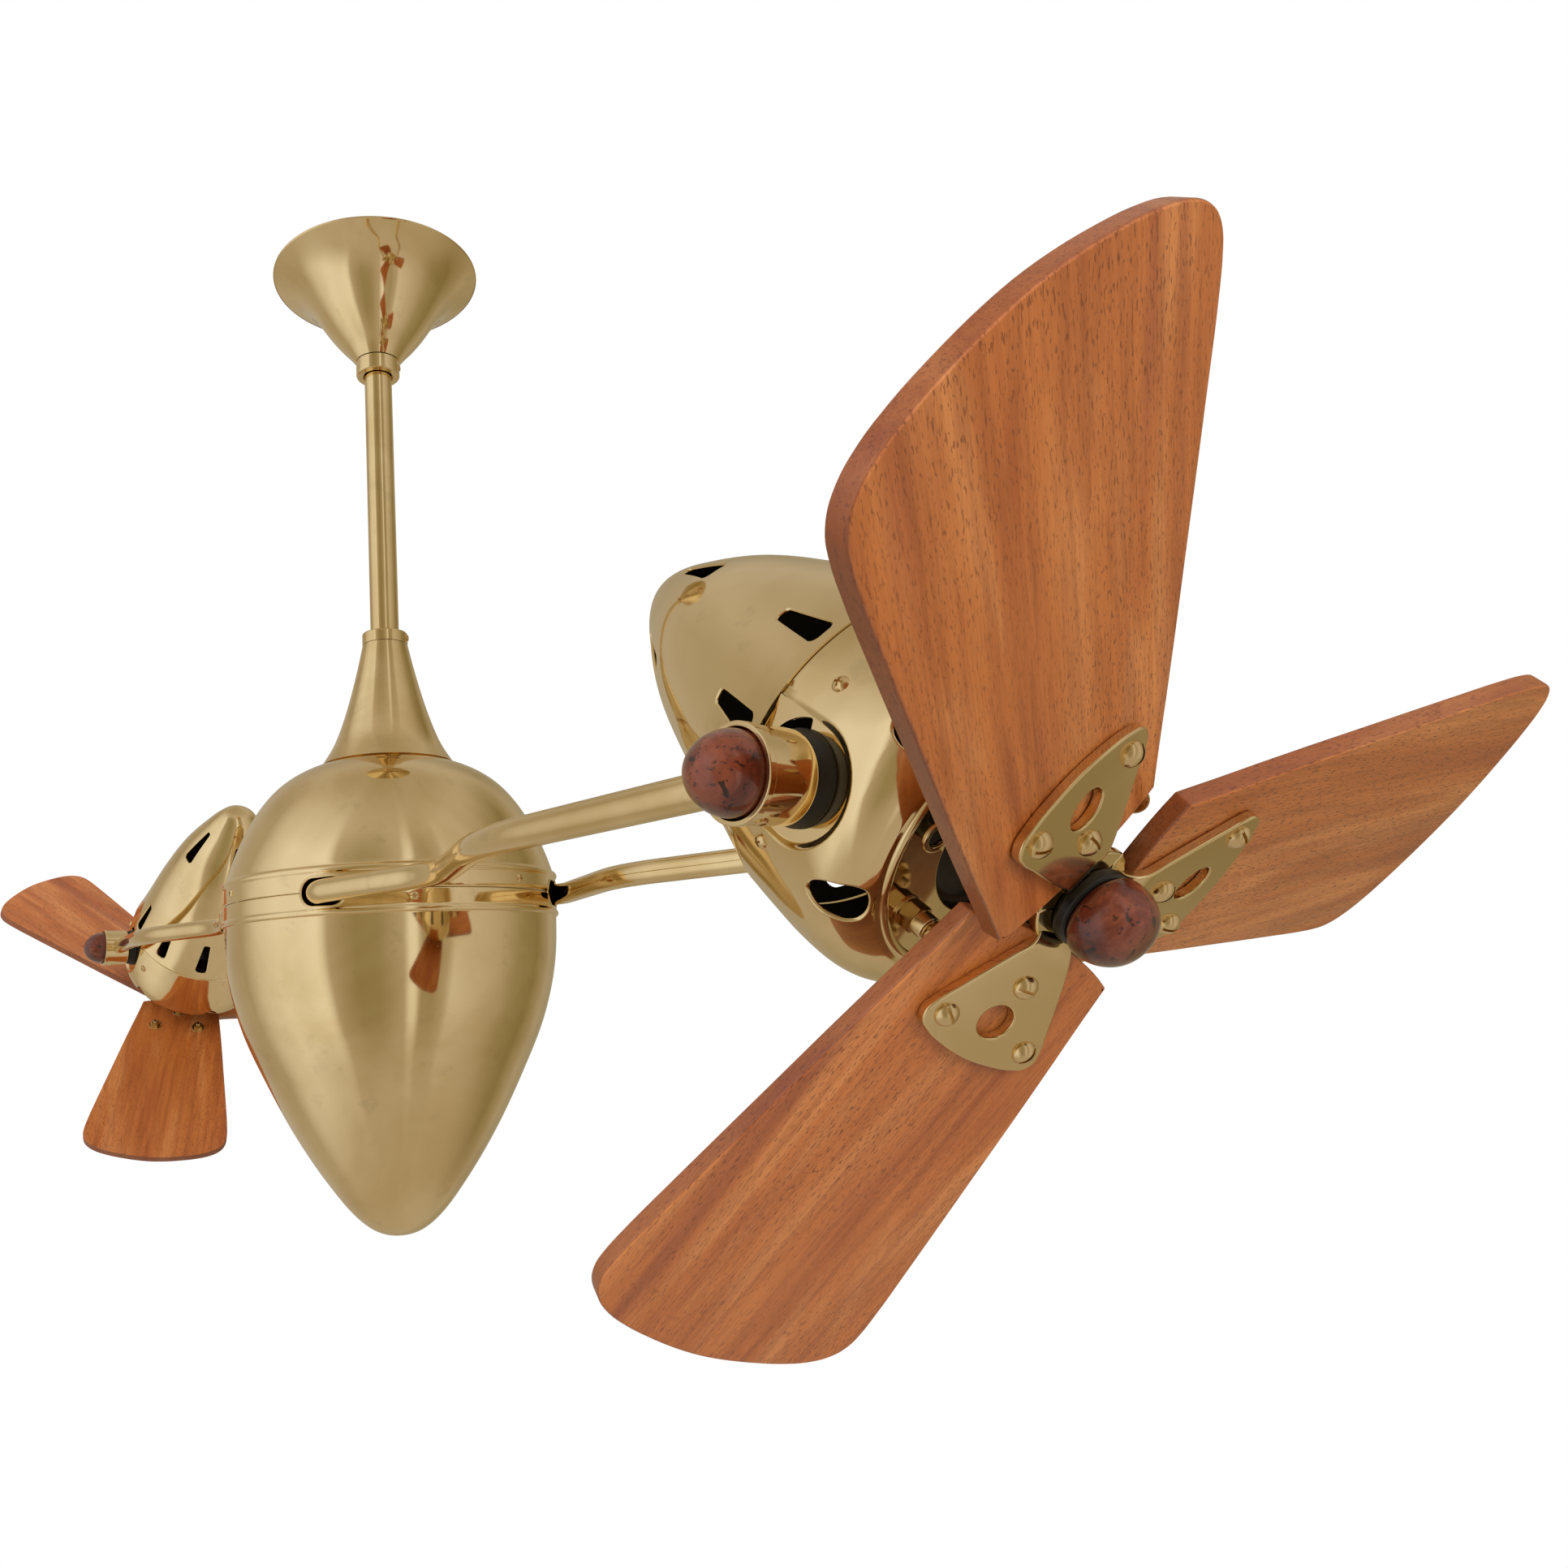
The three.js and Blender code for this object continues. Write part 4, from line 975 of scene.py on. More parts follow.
rear = Profile(hermite([(0, -185.6), (7, -185.1), (14, -182), (21, -173.5), (31, -156), (44.2, -128.5), (56.6, -88.5), (66.4, -46.2), (71.2, -27.6), (71.9, -25.2)], 1), 3.0, -1, axis0=True)
rear = Profile(np.vstack([np.c_[rear.r, rear.z][::6], [(71.95, -24.9)]]), 0.4, -1, axis0=True)


def vent(prof, s0, s1, w0, w1, angle, rim):
    t0, t1 = float(prof.t_of_z(s0)), float(prof.t_of_z(s1))
    tc = (t0 + t1) / 2
    poly = dense(round_poly([(-w0, t0 - tc), (w0, t0 - tc), (w1, t1 - tc), (-w1, t1 - tc)], [min(1.9, w0 * 0.8), min(1.9, w0 * 0.8), min(3.2, w1 * 0.6), min(3.2, w1 * 0.6)], 6), 3.0)
    return Hole(prof, math.radians(angle), tc, poly, rim)


RIM = ROUND(1.0)
holes = [vent(rear, -60.3, -31.2, 2.9, 5.6, 90 + PH + 36 * i, RIM) for i in range(10)]
holes += [vent(rear, -161, -128.7, 2.1, 6.5, 42 + 72 * i, RIM) for i in range(5)]
geo, *_ = spun_shell(rear, 144, math.radians(141.5), holes, 1.4, 5.0, 4.0, 55.0)
rear_mesh = geo.mesh("rear_shell_cowl")

front_curve = Profile(hermite([(72.0, -23.6), (72.6, -16), (73.2, -6), (73.7, 4), (73.6, 12), (73.0, 20), (71.0, 27.2), (67.2, 32.3), (61.5, 36.6), (57.2, 38.6)], 1), 2.2, -1)
front = Profile(np.vstack([[(71.2, -24.4), (71.9, -23.9)], np.c_[front_curve.r, front_curve.z][::6], [(55.4, 38.7)], arc(53.3, 38.3, 1.9, 10, 178, 14), [(51.4, 37.4)]]), 0.3, -1)
FLOOR = 68.6
holes = []
SEAM_S = -24.4
pocket_poly = [(-21, SEAM_S - 12), (21, SEAM_S - 12), (21, SEAM_S)] + [(21 * math.cos(a), 2 + 21 * math.sin(a)) for a in np.linspace(0, math.pi, 25)] + [(-21, SEAM_S)]
pocket_poly = dense(np.array(pocket_poly), 4.0)
SLOPE = [(d, 0.5 + 0.5 * math.cos(math.pi * d / 4.0), 0) for d in (4.0, 3.4, 2.8, 2.2, 1.6, 1.1, 0.6, 0.25, 0.0)]
for sy in (1, -1):
    holes.append(Hole(front, math.radians(90 * sy), 0, pocket_poly, SLOPE, pocket=FLOOR, part=1, line=SEAM_S))
BEAN = hermite([(-2.7, -10.6), (-6.3, -9.2), (-8.7, -4.6), (-8.8, 0.5), (-8.3, 5.9), (-6.3, 9.7), (-2.2, 11.2), (2.9, 10.4), (5.7, 8.2), (6.6, 4.1), (5.6, -0.6), (3.8, -4.9), (1.0, -8.6)], 1.3, True)
for i in range(6):
    a = 60 + PH + 60 * i
    d = (a - 90 + 180) % 360 - 180
    bend = -1 if -90 < d < 0 or d > 90 else 1
    if abs(abs(d) - 90) < 10:
        bend = 0
    t0, t1 = float(front.t_of_z(20.6)), None
    # the long axis follows the meridian over the shoulder
    tc = t0 + 11.6
    u = np.linspace(0, TAU, 40, endpoint=False)
    bean = BEAN * [bend, 1] if bend else np.c_[7.4 * np.cos(u), 11.0 * np.sin(u)]
    holes.append(Hole(front, math.radians(a), tc, bean, ROUND(1.3)))
geo, info, V, IN = spun_shell(front, 144, math.radians(147.5), holes, 1.4, 5.0, 4.0, 70.0)


def slot_poly(sy, r0=14.5, r1=21.3):
    a = np.radians(np.linspace(20, 74, 13))
    out = np.c_[-sy * np.sin(a), -np.cos(a)] * r1
    inn = (np.c_[-sy * np.sin(a), -np.cos(a)] * r0)[::-1]
    return ccw(round_poly(np.vstack([out, inn]), [1.6] + [0.01] * 11 + [1.6, 1.6] + [0.01] * 11 + [1.6], 4))


for h, rings, order in info:
    if not h.pocket:
        continue
    sy = 1 if h.thc > 0 else -1
    at = lambda p, y: np.outer(np.full(len(p), 1.0) * y, h.er) + np.outer(p[:, 0], h.et) + np.outer(p[:, 1], [0, 0, 1.0])
    idx, _ = rings[-1]
    outline = np.c_[V[idx] @ h.et, V[idx][:, 2]]
    sp = slot_poly(sy)
    up = np.tile(h.er, (2000, 1))
    wall = lambda p: -(vertex_normals(p)[0][:, :1] * h.et + vertex_normals(p)[0][:, 1:] * np.array([0, 0, 1.0]))
    bore = circle(4.5, 24)
    pts, tri = fill(outline, [offset(sp, 0.4), bore])
    geo.add(at(pts, FLOOR), up[:len(pts)], tri)
    bg_ = wall(bore)
    strip(geo, at(bore, FLOOR), at(bore, FLOOR - 1.4), bg_, bg_)
    sg = wall(sp)
    strip(geo, at(offset(sp, 0.4), FLOOR), at(sp, FLOOR - 0.4), up[:len(sp)], sg)
    strip(geo, at(sp, FLOOR - 0.4), at(sp, FLOOR - 1.4), sg, sg)
    pts, tri = fill(outline, [sp, bore])
    geo.add(at(pts, FLOOR - 1.4), -up[:len(pts)], tri, k=1)
    # edge of the floor at the seam
    ends = outline[[-1, 0]]
    back = np.tile([0, 0, -1.0], (2, 1))
    strip(geo, at(ends, FLOOR), at(ends, FLOOR - 1.4), back, back, False)
    # upturned lip that closes the step behind the seam
    lx = np.linspace(-15.2, 15.2, 25)
    ly = np.sqrt(70.3**2 - lx**2)
    low, top = FLOOR - 0.2, [np.c_[lx, np.full(25, z)] for z in (-23.7, -24.3)]
    place = lambda q, y: np.outer(y, h.er) + np.outer(q[:, 0], h.et) + np.outer(q[:, 1], [0, 0, 1.0])
    fw = np.tile([0, 0, 1.0], (25, 1))
    strip(geo, place(top[0], ly), place(top[0], np.full(25, low)), fw, fw, False)
    strip(geo, place(top[0], ly), place(top[1], ly), up[:25], up[:25], False)
    strip(geo, place(top[1], ly), place(top[1], np.full(25, low)), -fw, -fw, False)
front_mesh = geo.mesh("front_shell_cowl")

# front plate: flat annulus with a large centre hole and four round holes, each ringed by a raised collar
plate_holes = [circle(30, 72)] + [circle(4.1, 28, 36.6 * math.cos(math.radians(90 + PH + 90 * i)), 36.6 * math.sin(math.radians(90 + PH + 90 * i))) for i in range(4)]
disc = plate(circle(51.2, 128), 36.1, 37.6, plate_holes, 0.4, 0.3, 0.6)
P, N = filleted([(4.15, 36.0), (6.5, 36.0), (6.5, 38.5), (4.15, 38.5)], [0.2, 0.2, 0.8, 0.7], closed=True, sign=-1)
for i in range(4):
    t = math.radians(90 + PH + 90 * i)
    disc.join(revolve(P, N, 36), shift(36.6 * math.cos(t), 36.6 * math.sin(t), 0))
plate_mesh = disc.mesh("front_plate_disc")

# motor: laminated stack with a bell and a boss, turned as one body
mot = Geo()
P, N = filleted([(6, 34), (16, 34), (17, 31.5), (27, 31.5), (28.5, 33.2), (38, 33.2), (44, 27), (44, 15), (42.6, 14), (42.6, -12), (44, -13), (44, -24), (38, -30), (6, -30)], [0.3, 1, 1, 1, 1, 2, 2.5, 0.5, 0.3, 0.3, 0.5, 2, 2, 0.3], closed=True)
revolve(P, N, 72, mot)
motor_mesh = mot.mesh("motor_core")

P, N = filleted([(4.3, FLOOR + 0.1), (17.7, FLOOR + 0.1), (17.7, FLOOR + 1.1), (16.2, 75.5), (4.3, 75.5)], [0.2, 0.4, 1.2, 1.0, 0.3], sign=-1, closed=True)
washer_mesh = revolve(P, N, 72).mesh("rubber_washer")


def head_cutter(poly_fn):
    return poly_fn


# ---- fasteners
def screw_head(radius, height, recess, depth, skirt=0.5):
    """Domed head with a recess cut into it."""
    geo = Geo()
    rs = (radius**2 + height**2) / (2 * height)
    zc = height - rs
    cap = lambda p: zc + np.sqrt(np.maximum(rs**2 - (p**2).sum(1), 0))
    recess = dense(ccw(np.array(recess, float)), radius * 0.12)
    pts = [circle(radius * k, max(10, int(36 * k))) for k in (1.0, 0.93, 0.8, 0.64, 0.45, 0.25)]
    loops = [(np.arange(len(pts[0])), True)]
    extra = np.vstack(pts)
    d = sdist(recess, extra)
    extra = np.vstack([extra[:len(pts[0])], extra[len(pts[0]):][d[len(pts[0]):] > radius * 0.06]])
    k = len(extra)
    loops.append((np.arange(k, k + len(recess)), True))
    al = np.vstack([extra, recess])
    tri = triangulate(al, loops)
    tri = tri[~inside(recess, al[tri].mean(1))]
    v = np.c_[al, cap(al)]
    geo.add(v, v - [0, 0, zc], tri)
    vn, _ = vertex_normals(recess)
    g = np.c_[-vn, np.zeros(len(recess))]
    strip(geo, np.c_[recess, cap(recess)], np.c_[recess, np.full(len(recess), height - depth)], g, g)
    p2, t2 = fill(recess)
    geo.add(np.c_[p2, np.full(len(p2), height - depth)], np.tile([0, 0, 1.0], (len(p2), 1)), t2)
    rim = circle(radius, 36)
    n = np.c_[unit(rim), np.zeros(36)]
    strip(geo, np.c_[rim, np.zeros(36)], np.c_[rim, np.full(36, -skirt)], n, n)
    p3, t3 = fill(rim)
    geo.add(np.c_[p3, np.full(len(p3), -skirt)], np.tile([0, 0, -1.0], (len(p3), 1)), t3)
    return geo


def cross(a, b):
    return [(a, -b), (a, b), (b, b), (b, a), (-b, a), (-b, b), (-a, b), (-a, -b), (-b, -b), (-b, -a), (b, -a), (b, -b)]


slotted = screw_head(4.5, 2.9, [(-4.1, -0.55), (4.1, -0.55), (4.1, 0.55), (-4.1, 0.55)], 1.9).mesh("slotted_screw")
phillips = screw_head(3.3, 2.0, cross(1.9, 0.42), 1.5).mesh("cross_screw")
small_phillips = screw_head(2.9, 1.5, cross(1.7, 0.4), 1.2).mesh("band_screw")


def set_screw():
    geo = Geo()
    P, N = filleted([(2.0, 0.9), (2.4, 0.6), (2.4, -0.6), (0, -0.6)], 0.2, sign=1)
    revolve(P, N, 24, geo)
    hexa = circle(1.25, 6)
    rim = circle(2.0, 24)
    pts, tri = fill(rim, [hexa])
    geo.add(np.c_[pts, np.full(len(pts), 0.9)], np.tile([0, 0, 1.0], (len(pts), 1)), tri)
    vn, _ = vertex_normals(hexa)
    g = np.c_[-vn, np.zeros(6)]
    strip(geo, np.c_[hexa, np.full(6, 0.9)], np.c_[hexa, np.full(6, -0.4)], g, g)
    p2, t2 = fill(hexa)
    geo.add(np.c_[p2, np.full(6, -0.4)], np.tile([0, 0, 1.0], (6, 1)), t2)
    return geo.mesh("set_screw")


grub = set_screw()


def nut(width, height, bore, dome=False):
    geo = Geo()
    r = width / 2 / math.cos(math.pi / 6)
    hexa = round_poly(circle(r, 6, start=math.pi / 6), [0.25] * 6, 2)
    # corners are turned down at the top and bottom
    ch = lambda p, k: np.minimum(0, (width / 2 * 1.02 - np.linalg.norm(p, axis=1)) * 0.55) * k
    vn, _ = vertex_normals(hexa)
    g = np.c_[vn, np.zeros(len(hexa))]
    d = dense(hexa, 0.8)
    vn, _ = vertex_normals(d)
    g = np.c_[vn, np.zeros(len(d))]
    top, bot = height + ch(d, 1), -ch(d, 1)
    strip(geo, np.c_[d, top], np.c_[d, bot], g, g)
    inner = offset(d, -0.9)
    for z, up, edge in ((height, 1, top), (0.0, -1, bot)):
        strip(geo, np.c_[d, edge], np.c_[inner, np.full(len(d), z)], np.c_[unit(d) * 0.4, np.full(len(d), up * 0.9)], np.tile([0, 0, float(up)], (len(d), 1)))
        if dome and up > 0:
            continue
        hole = circle(bore, 20)
        pts, tri = fill(inner, [hole])
        geo.add(np.c_[pts, np.full(len(pts), z)], np.tile([0, 0, float(up)], (len(pts), 1)), tri)
    if dome:
        pts, tri = fill(inner)
        geo.add(np.c_[pts, np.full(len(pts), height)], np.tile([0, 0, 1.0], (len(pts), 1)), tri)
    else:
        P, N = filleted([(bore, 0), (bore, height)], 0, sign=-1)
        revolve(P, -N if N[0, 0] > 0 else N, 20, geo)
    return geo


acorn = nut(10.0, 5.6, 1.8, True)
P, N = filleted([(0, 0), (6.4, 0), (6.4, -0.9), (0, -0.9)], [0, 0.3, 0.1, 0])
revolve(P, N, 36, acorn)
t = np.radians(np.linspace(-42, 90, 15))
P = np.vstack([[(4.7, 5.6), (4.7, 9.9), (4.35, 10.4), (3.75, 10.55)], np.c_[5.1 * np.cos(t), 13.9 + 5.1 * np.sin(t)] * [0.98, 0.98]])
N = np.vstack([[(1, 0), (1, 0), (0.7, 0.7), (0.5, 0.5)], np.c_[np.cos(t), np.sin(t)]])
P[-1, 0] = 0
revolve(P, N, 36, acorn)
acorn_mesh = acorn.mesh("acorn_nut")

back = Geo()
P, N = filleted([(2, 0.0), (6.3, 0.0), (6.3, -1.1), (2, -1.1)], [0.1, 0.35, 0.35, 0.1], sign=1, closed=True)
revolve(P, N, 40, back)
back.join(nut(8.0, 3.3, 2.0), shift(0, 0, 0.05))
P, N = filleted([(0, 5.6), (1.6, 5.6), (2.0, 5.2), (2.0, -0.5)], [0, 0.1, 0.1, 0])
P = np.vstack([P[:-1]] + [[(2.0 - 0.16 * (k % 2), 5.2 - 0.32 * k)] for k in range(1, 18)])
N = np.vstack([N[:-1]] + [[(1.0, 0.5 if k % 2 else -0.5)] for k in range(1, 18)])
revolve(P, unit(N), 20, back)
back_mesh = back.mesh("nut_and_washer")

# ------------------------------------------------------------------ propeller pieces
HUB = 76.2
PITCH = math.radians(10.2)
PHASE = {"right": 42.4, "left": 78.0}


def blade_frame(deg):
    t = math.radians(deg)
    r, k, a = np.array([math.cos(t), math.sin(t), 0]), np.array([-math.sin(t), math.cos(t), 0]), np.array([0, 0, 1.0])
    m = a * math.cos(PITCH) - k * math.sin(PITCH)
    return basis(r, np.cross(m, r), m, (0, 0, HUB))


EDGE = [(21.4, 38.9), (38, 41.7), (58, 45.4), (82, 49.6), (107, 53.7), (131, 57.7), (155, 61.6), (177, 65), (188, 66.1), (195, 65.8), (200.5, 63.6), (205.5, 58.8), (209.5, 51.5), (212.8, 41), (215.7, 26), (217.4, 12.5), (218, 0)]
ROOT = [(16.2, 0), (16.6, 10), (17.8, 22), (19.8, 33)]
side_pts = EDGE + [(x, -y) for x, y in EDGE[:-1][::-1]]
outer = hermite(side_pts, 1.0)
root_pts = [(21.4, -38.9)] + [(x, -y) for x, y in ROOT[::-1][:-1]] + ROOT + [(21.4, 38.9)]
rootc = hermite(root_pts, 1.0)
blade_outline = soften(np.vstack([outer[:-1], rootc[:-1]]), 6.0, 0.45)
blade_mesh = plate(blade_outline, -10.4, -3.4, (), 1.1, 0.8).mesh("propeller_blade")

BE = [(13.4, 8.6), (18, 9.6), (26, 14.4), (36, 20.3), (44.5, 25), (52, 29.2), (56.5, 30.4), (60.3, 28.6), (63, 23), (65.2, 12.5), (66.2, 0)]
be = hermite(BE + [(x, -y) for x, y in BE[:-1][::-1]], 0.8)
bracket_outline = soften(be, 2.2, 0.5)
oval = np.c_[49.5 + 6.6 * np.cos(np.arange(44) / 44 * TAU), 7.6 * np.sin(np.arange(44) / 44 * TAU)]


def bracket_geo():
    """Plate with a pressed neck that drops to the hub seat."""
    outline = ccw(bracket_outline)
    geo = Geo()
    x0, x1 = 22.5, 13.4

    def wave(x, y):
        u = np.clip((x0 - x) / (x0 - x1), 0, 1)
        return -4.2 * u**2.2

    def slope(x):
        u = np.clip((x0 - x) / (x0 - x1), 1e-6, 1)
        return 4.2 * 2.2 * u**1.2 / (x0 - x1) * (x < x0)

    z0, z1, rt, rb = -3.1, 0.4, 0.9, 0.4
    up = np.array([0, 0, 1.0])
    for p, s, t in ((outline, 1, rt), (ccw(oval), -1, 0.8)):
        vn, _ = vertex_normals(p)
        g = np.c_[vn * s, np.zeros(len(p))]
        rings = []
        for d, h, f in ROUND(t):
            q = offset(p, -s * d)
            rings.append((np.c_[q, z1 - h + wave(*q.T)], up * math.cos(f) + g * math.sin(f)))
        for d, h, f in reversed(ROUND(rb)):
            q = offset(p, -s * d)
            rings.append((np.c_[q, z0 + h + wave(*q.T)], -up * math.cos(f) + g * math.sin(f)))
        for (a, na), (b, nb) in zip(rings[:-1], rings[1:]):
            strip(geo, a, b, na - np.c_[slope(a[:, 0]), a[:, 1:] * 0] * na[:, 2:3], nb - np.c_[slope(b[:, 0]), b[:, 1:] * 0] * nb[:, 2:3])
    for z, d, dh, u in ((z1, rt, 0.8, 1.0), (z0, rb, rb, -1.0)):
        o2, h2 = offset(outline, -d), offset(ccw(oval), dh)
        gx, gy = np.meshgrid(np.arange(14.5, 26, 1.5), np.arange(-13.5, 14, 3.0))
        grid = np.c_[gx.ravel(), gy.ravel()]
        grid = grid[sdist(o2, grid) < -0.7]
        pts = np.vstack([o2, h2, grid])
        tri = triangulate(pts, [(np.arange(len(o2)), True), (np.arange(len(o2), len(o2) + len(h2)), True)])
        c = pts[tri].mean(1)
        tri = tri[inside(o2, c) & ~inside(h2, c)]
        n = np.c_[-slope(pts[:, 0]), np.zeros(len(pts)), np.ones(len(pts))] * u
        geo.add(np.c_[pts, z + wave(*pts.T)], n, tri)
    return geo


# a third of the hub ring, in the hub's own directions, turned into the blade's
bracket = bracket_geo()
ang = np.radians(np.linspace(-59.7, 59.7, 31))
sector = np.vstack([np.c_[np.cos(ang), np.sin(ang)] * (18.6 + 1.6 * (np.abs(ang)[:, None] / ang[-1]) ** 2), np.c_[np.cos(ang), np.sin(ang)][::-1] * 11.7])
bracket.join(plate(sector, HUB - 7.4, HUB - 3.9, (), 0.7, 0.3), np.linalg.inv(blade_frame(0)))
bracket_mesh = bracket.mesh("blade_bracket_plate")

hub = Geo()
P, N = filleted([(0, 78.1), (11.4, 78.1), (11.4, 68.6), (15.6, 68.6), (16.2, 67.8), (16.2, 65.6), (15.0, 64.6), (11, 64), (11, 40.5), (5, 40.5), (5, -26), (0, -26)],
                [0, 0.5, 0.3, 0.5, 0.8, 0.6, 0.6, 0.8, 0.5, 0.3, 0.3, 0])
revolve(P, N, 72, hub)
# black dished washer under the finial
P, N = filleted([(0, 78.15), (13.3, 78.15), (14.4, 77.3), (14.5, 74.6), (13.0, 72.5), (0, 72.5)], [0, 0.5, 0.8, 0.8, 0.5, 0])
revolve(P, N, 72, hub)
hub_mesh = hub.mesh("rotor_hub_body")

hf = Profile(hermite([(13.3, 78.5), (14.9, 80.2), (15.3, 82.6), (14.9, 86.2), (13.5, 89.8), (11.0, 93.0), (7.6, 95.2), (3.8, 96.1), (0, 96.3)], 0.4), 0.9, -1, axis1=True)
P, N = hf.table(1.2, 4.0)
hubf = Geo()
revolve(P, N, 80, hubf)
revolve(np.array([[0, 78.4], P[0]]), np.array([[0, -1.0], [0, -1.0]]), 80, hubf)
hub_finial_mesh = hubf.mesh("hub_ball")


def surface_matrix(pos, normal, spin=0.0):
    n = unit(np.array(normal, float))
    t = np.cross([0.0, 0.0, 1.0], n)
    if np.linalg.norm(t) < 1e-3:
        t = np.array([1.0, 0, 0])
    t = unit(t)
    return basis(t, np.cross(n, t), n, pos) @ rot("Z", spin)


def on_profile(prof, angle, z, lift=0.0):
    t = float(prof.t_of_z(z))
    p, n = prof.at(np.array([math.radians(angle)]), np.array([t]))
    return p[0] + n[0] * lift, n[0]


for side in ("right", "left"):
    H = HEAD[side]
    body, rotor = f"{side}_head", f"{side}_rotor"
    put(f"{side}_rear_cowl", rear_mesh, BRASS, body, H, [f"{side}_rear_shell"])
    put(f"{side}_front_cowl", front_mesh, BRASS, body, H, [f"{side}_front_shell"])
    put(f"{side}_front_disc", plate_mesh, BRASS, body, H, [f"{side}_front_plate"])
    put(f"{side}_motor_core", motor_mesh, BLACK, body, H, [f"{side}_motor"])
    for face, sy in (("a", 1), ("b", -1)):
        put(f"{side}_rubber_washer_{face}", washer_mesh, RUBBER, body, H @ rot("X", -sy * 90), [f"{side}_washer_{face}"])
    k = 0
    for a in (90 + PH - 26, 90 + PH + 26, -90 + PH - 26, -90 + PH + 26):
        k += 1
        p, n = on_profile(front, a, -5)
        put(f"{side}_cowl_screw_{k}", phillips, BRASS_SCREW, body, H @ surface_matrix(p, n, 20 * k), ())
    for i in range(4):
        t = math.radians(135 + PH + 90 * i)
        put(f"{side}_acorn_nut_{i + 1}", acorn_mesh, BRASS_SCREW, body, H @ shift(43 * math.cos(t), 43 * math.sin(t), 38.5) @ rot("Z", 25 * i), ())
    put(f"{side}_hub_body", hub_mesh, BLACK, rotor, H, [f"{side}_rotor_hub"])
    put(f"{side}_hub_ball", hub_finial_mesh, FINIAL, rotor, H, [f"{side}_hub_finial"])
    for i in range(3):
        B = H @ blade_frame(PHASE[side] - 120 * i)
        put(f"{side}_propeller_blade_{i + 1}", blade_mesh, WOOD, rotor, B, [f"{side}_blade_{i + 1}"])
        put(f"{side}_bracket_plate_{i + 1}", bracket_mesh, BRASS, rotor, B, [f"{side}_blade_bracket_{i + 1}"])
        for j, (x, y) in enumerate([(34, 0), (54.6, 21.8), (54.6, -21.8)]):
            put(f"{side}_slotted_screw_{i + 1}_{j + 1}", slotted, BRASS_SCREW, rotor, B @ shift(x, y, 0.85) @ rot("Z", [10, 75, -40][j] + 47 * i), ())
            put(f"{side}_back_nut_{i + 1}_{j + 1}", back_mesh, BRASS_SCREW, rotor, B @ shift(x, y, -11.5) @ rot("X", 180) @ rot("Z", 31 * j + 17 * i), ())

# ---- small screws on the pod band, the collars and the sockets
for k, (angle, z) in enumerate([(-90, -492.6), (20, -492.6), (90, -492.6), (200, -492.6)]):
    p, n = on_profile(upper, angle, z)
    put(f"band_screw_{k + 1}", small_phillips, BRASS_SCREW, "carousel", surface_matrix(p, n, 30 * k), ())
for k, (angle, z) in enumerate([(-18.5, -504.6), (161.5, -504.6)]):
    p, n = on_profile(lower, angle, z)
    put(f"band_screw_{k + 5}", small_phillips, BRASS_SCREW, "carousel", surface_matrix(p, n, 15 + 30 * k), ())
for name, z, a, body in (("canopy_set_screw", -79, 50, "mount"), ("neck_set_screw", -301.5, 50, "mount")):
    t = math.radians(a)
    n = np.array([math.cos(t), math.sin(t), 0])
    put(name, grub, BRASS_SCREW, body, surface_matrix(n * 17 + [0, 0, z], n), ())
for side, sx in (("right", 1), ("left", -1)):
    for face, sy in (("a", -sx), ("b", sx)):
        n = unit([0.2 * sx, 0, -1.0])
        put(f"socket_screw_{side}_{face}", grub, BRASS_SCREW, "carousel", surface_matrix(np.array([sx * 475, sy * 91, -500]) + n * 17.1, n), ())

# ---- CAD pieces that stay as they are, hidden deep inside or above the canopy
KEEP = {"ceiling_bracket": STEEL, "hanger_pin": STEEL, "hanger_ball": RUBBER, "main_spindle": STEEL, "slip_ring": BRASS,
        "carousel_hub": BLACK, "upper_bearing": STEEL, "lower_bearing": STEEL, "brush_block": RUBBER}
for side in ("right", "left"):
    for face in ("a", "b"):
        KEEP[f"{side}_pivot_bolt_{face}"] = STEEL
for name, material in KEEP.items():
    o = NODES[name]
    o.data.materials.clear()
    o.data.materials.append(material)

# ------------------------------------------------------------------ stage, light, camera
scene = bpy.context.scene
scene.view_settings.view_transform = "Standard"
me = bpy.data.meshes.new("studio_floor")
me.from_pydata([(-14, -14, -2.6), (14, -14, -2.6), (14, 14, -2.6), (-14, 14, -2.6)], [], [(0, 1, 2, 3)])
floor = bpy.data.objects.new("studio_floor", me)
scene.collection.objects.link(floor)
floor.visible_glossy = False
n = Nodes("studio_floor")
em = n.new("Emission")
em.inputs[0].default_value = (1, 1, 1, 1)
em.inputs[1].default_value = 1.0
lp = n.new("LightPath")
mx = n.new("MixShader")
n.put("Base Color", n.ramp(n.noise(n.coords(), 1.5, 2.0), [(0.3, 0.86), (0.7, 0.9)]))
n.put("Roughness", 0.8)
n.link(lp.outputs["Is Camera Ray"], mx.inputs[0])
n.link(n.bsdf.outputs[0], mx.inputs[1])
n.link(em.outputs[0], mx.inputs[2])
n.link(mx.outputs[0], n.out.inputs[0])
me.materials.append(n.mat)

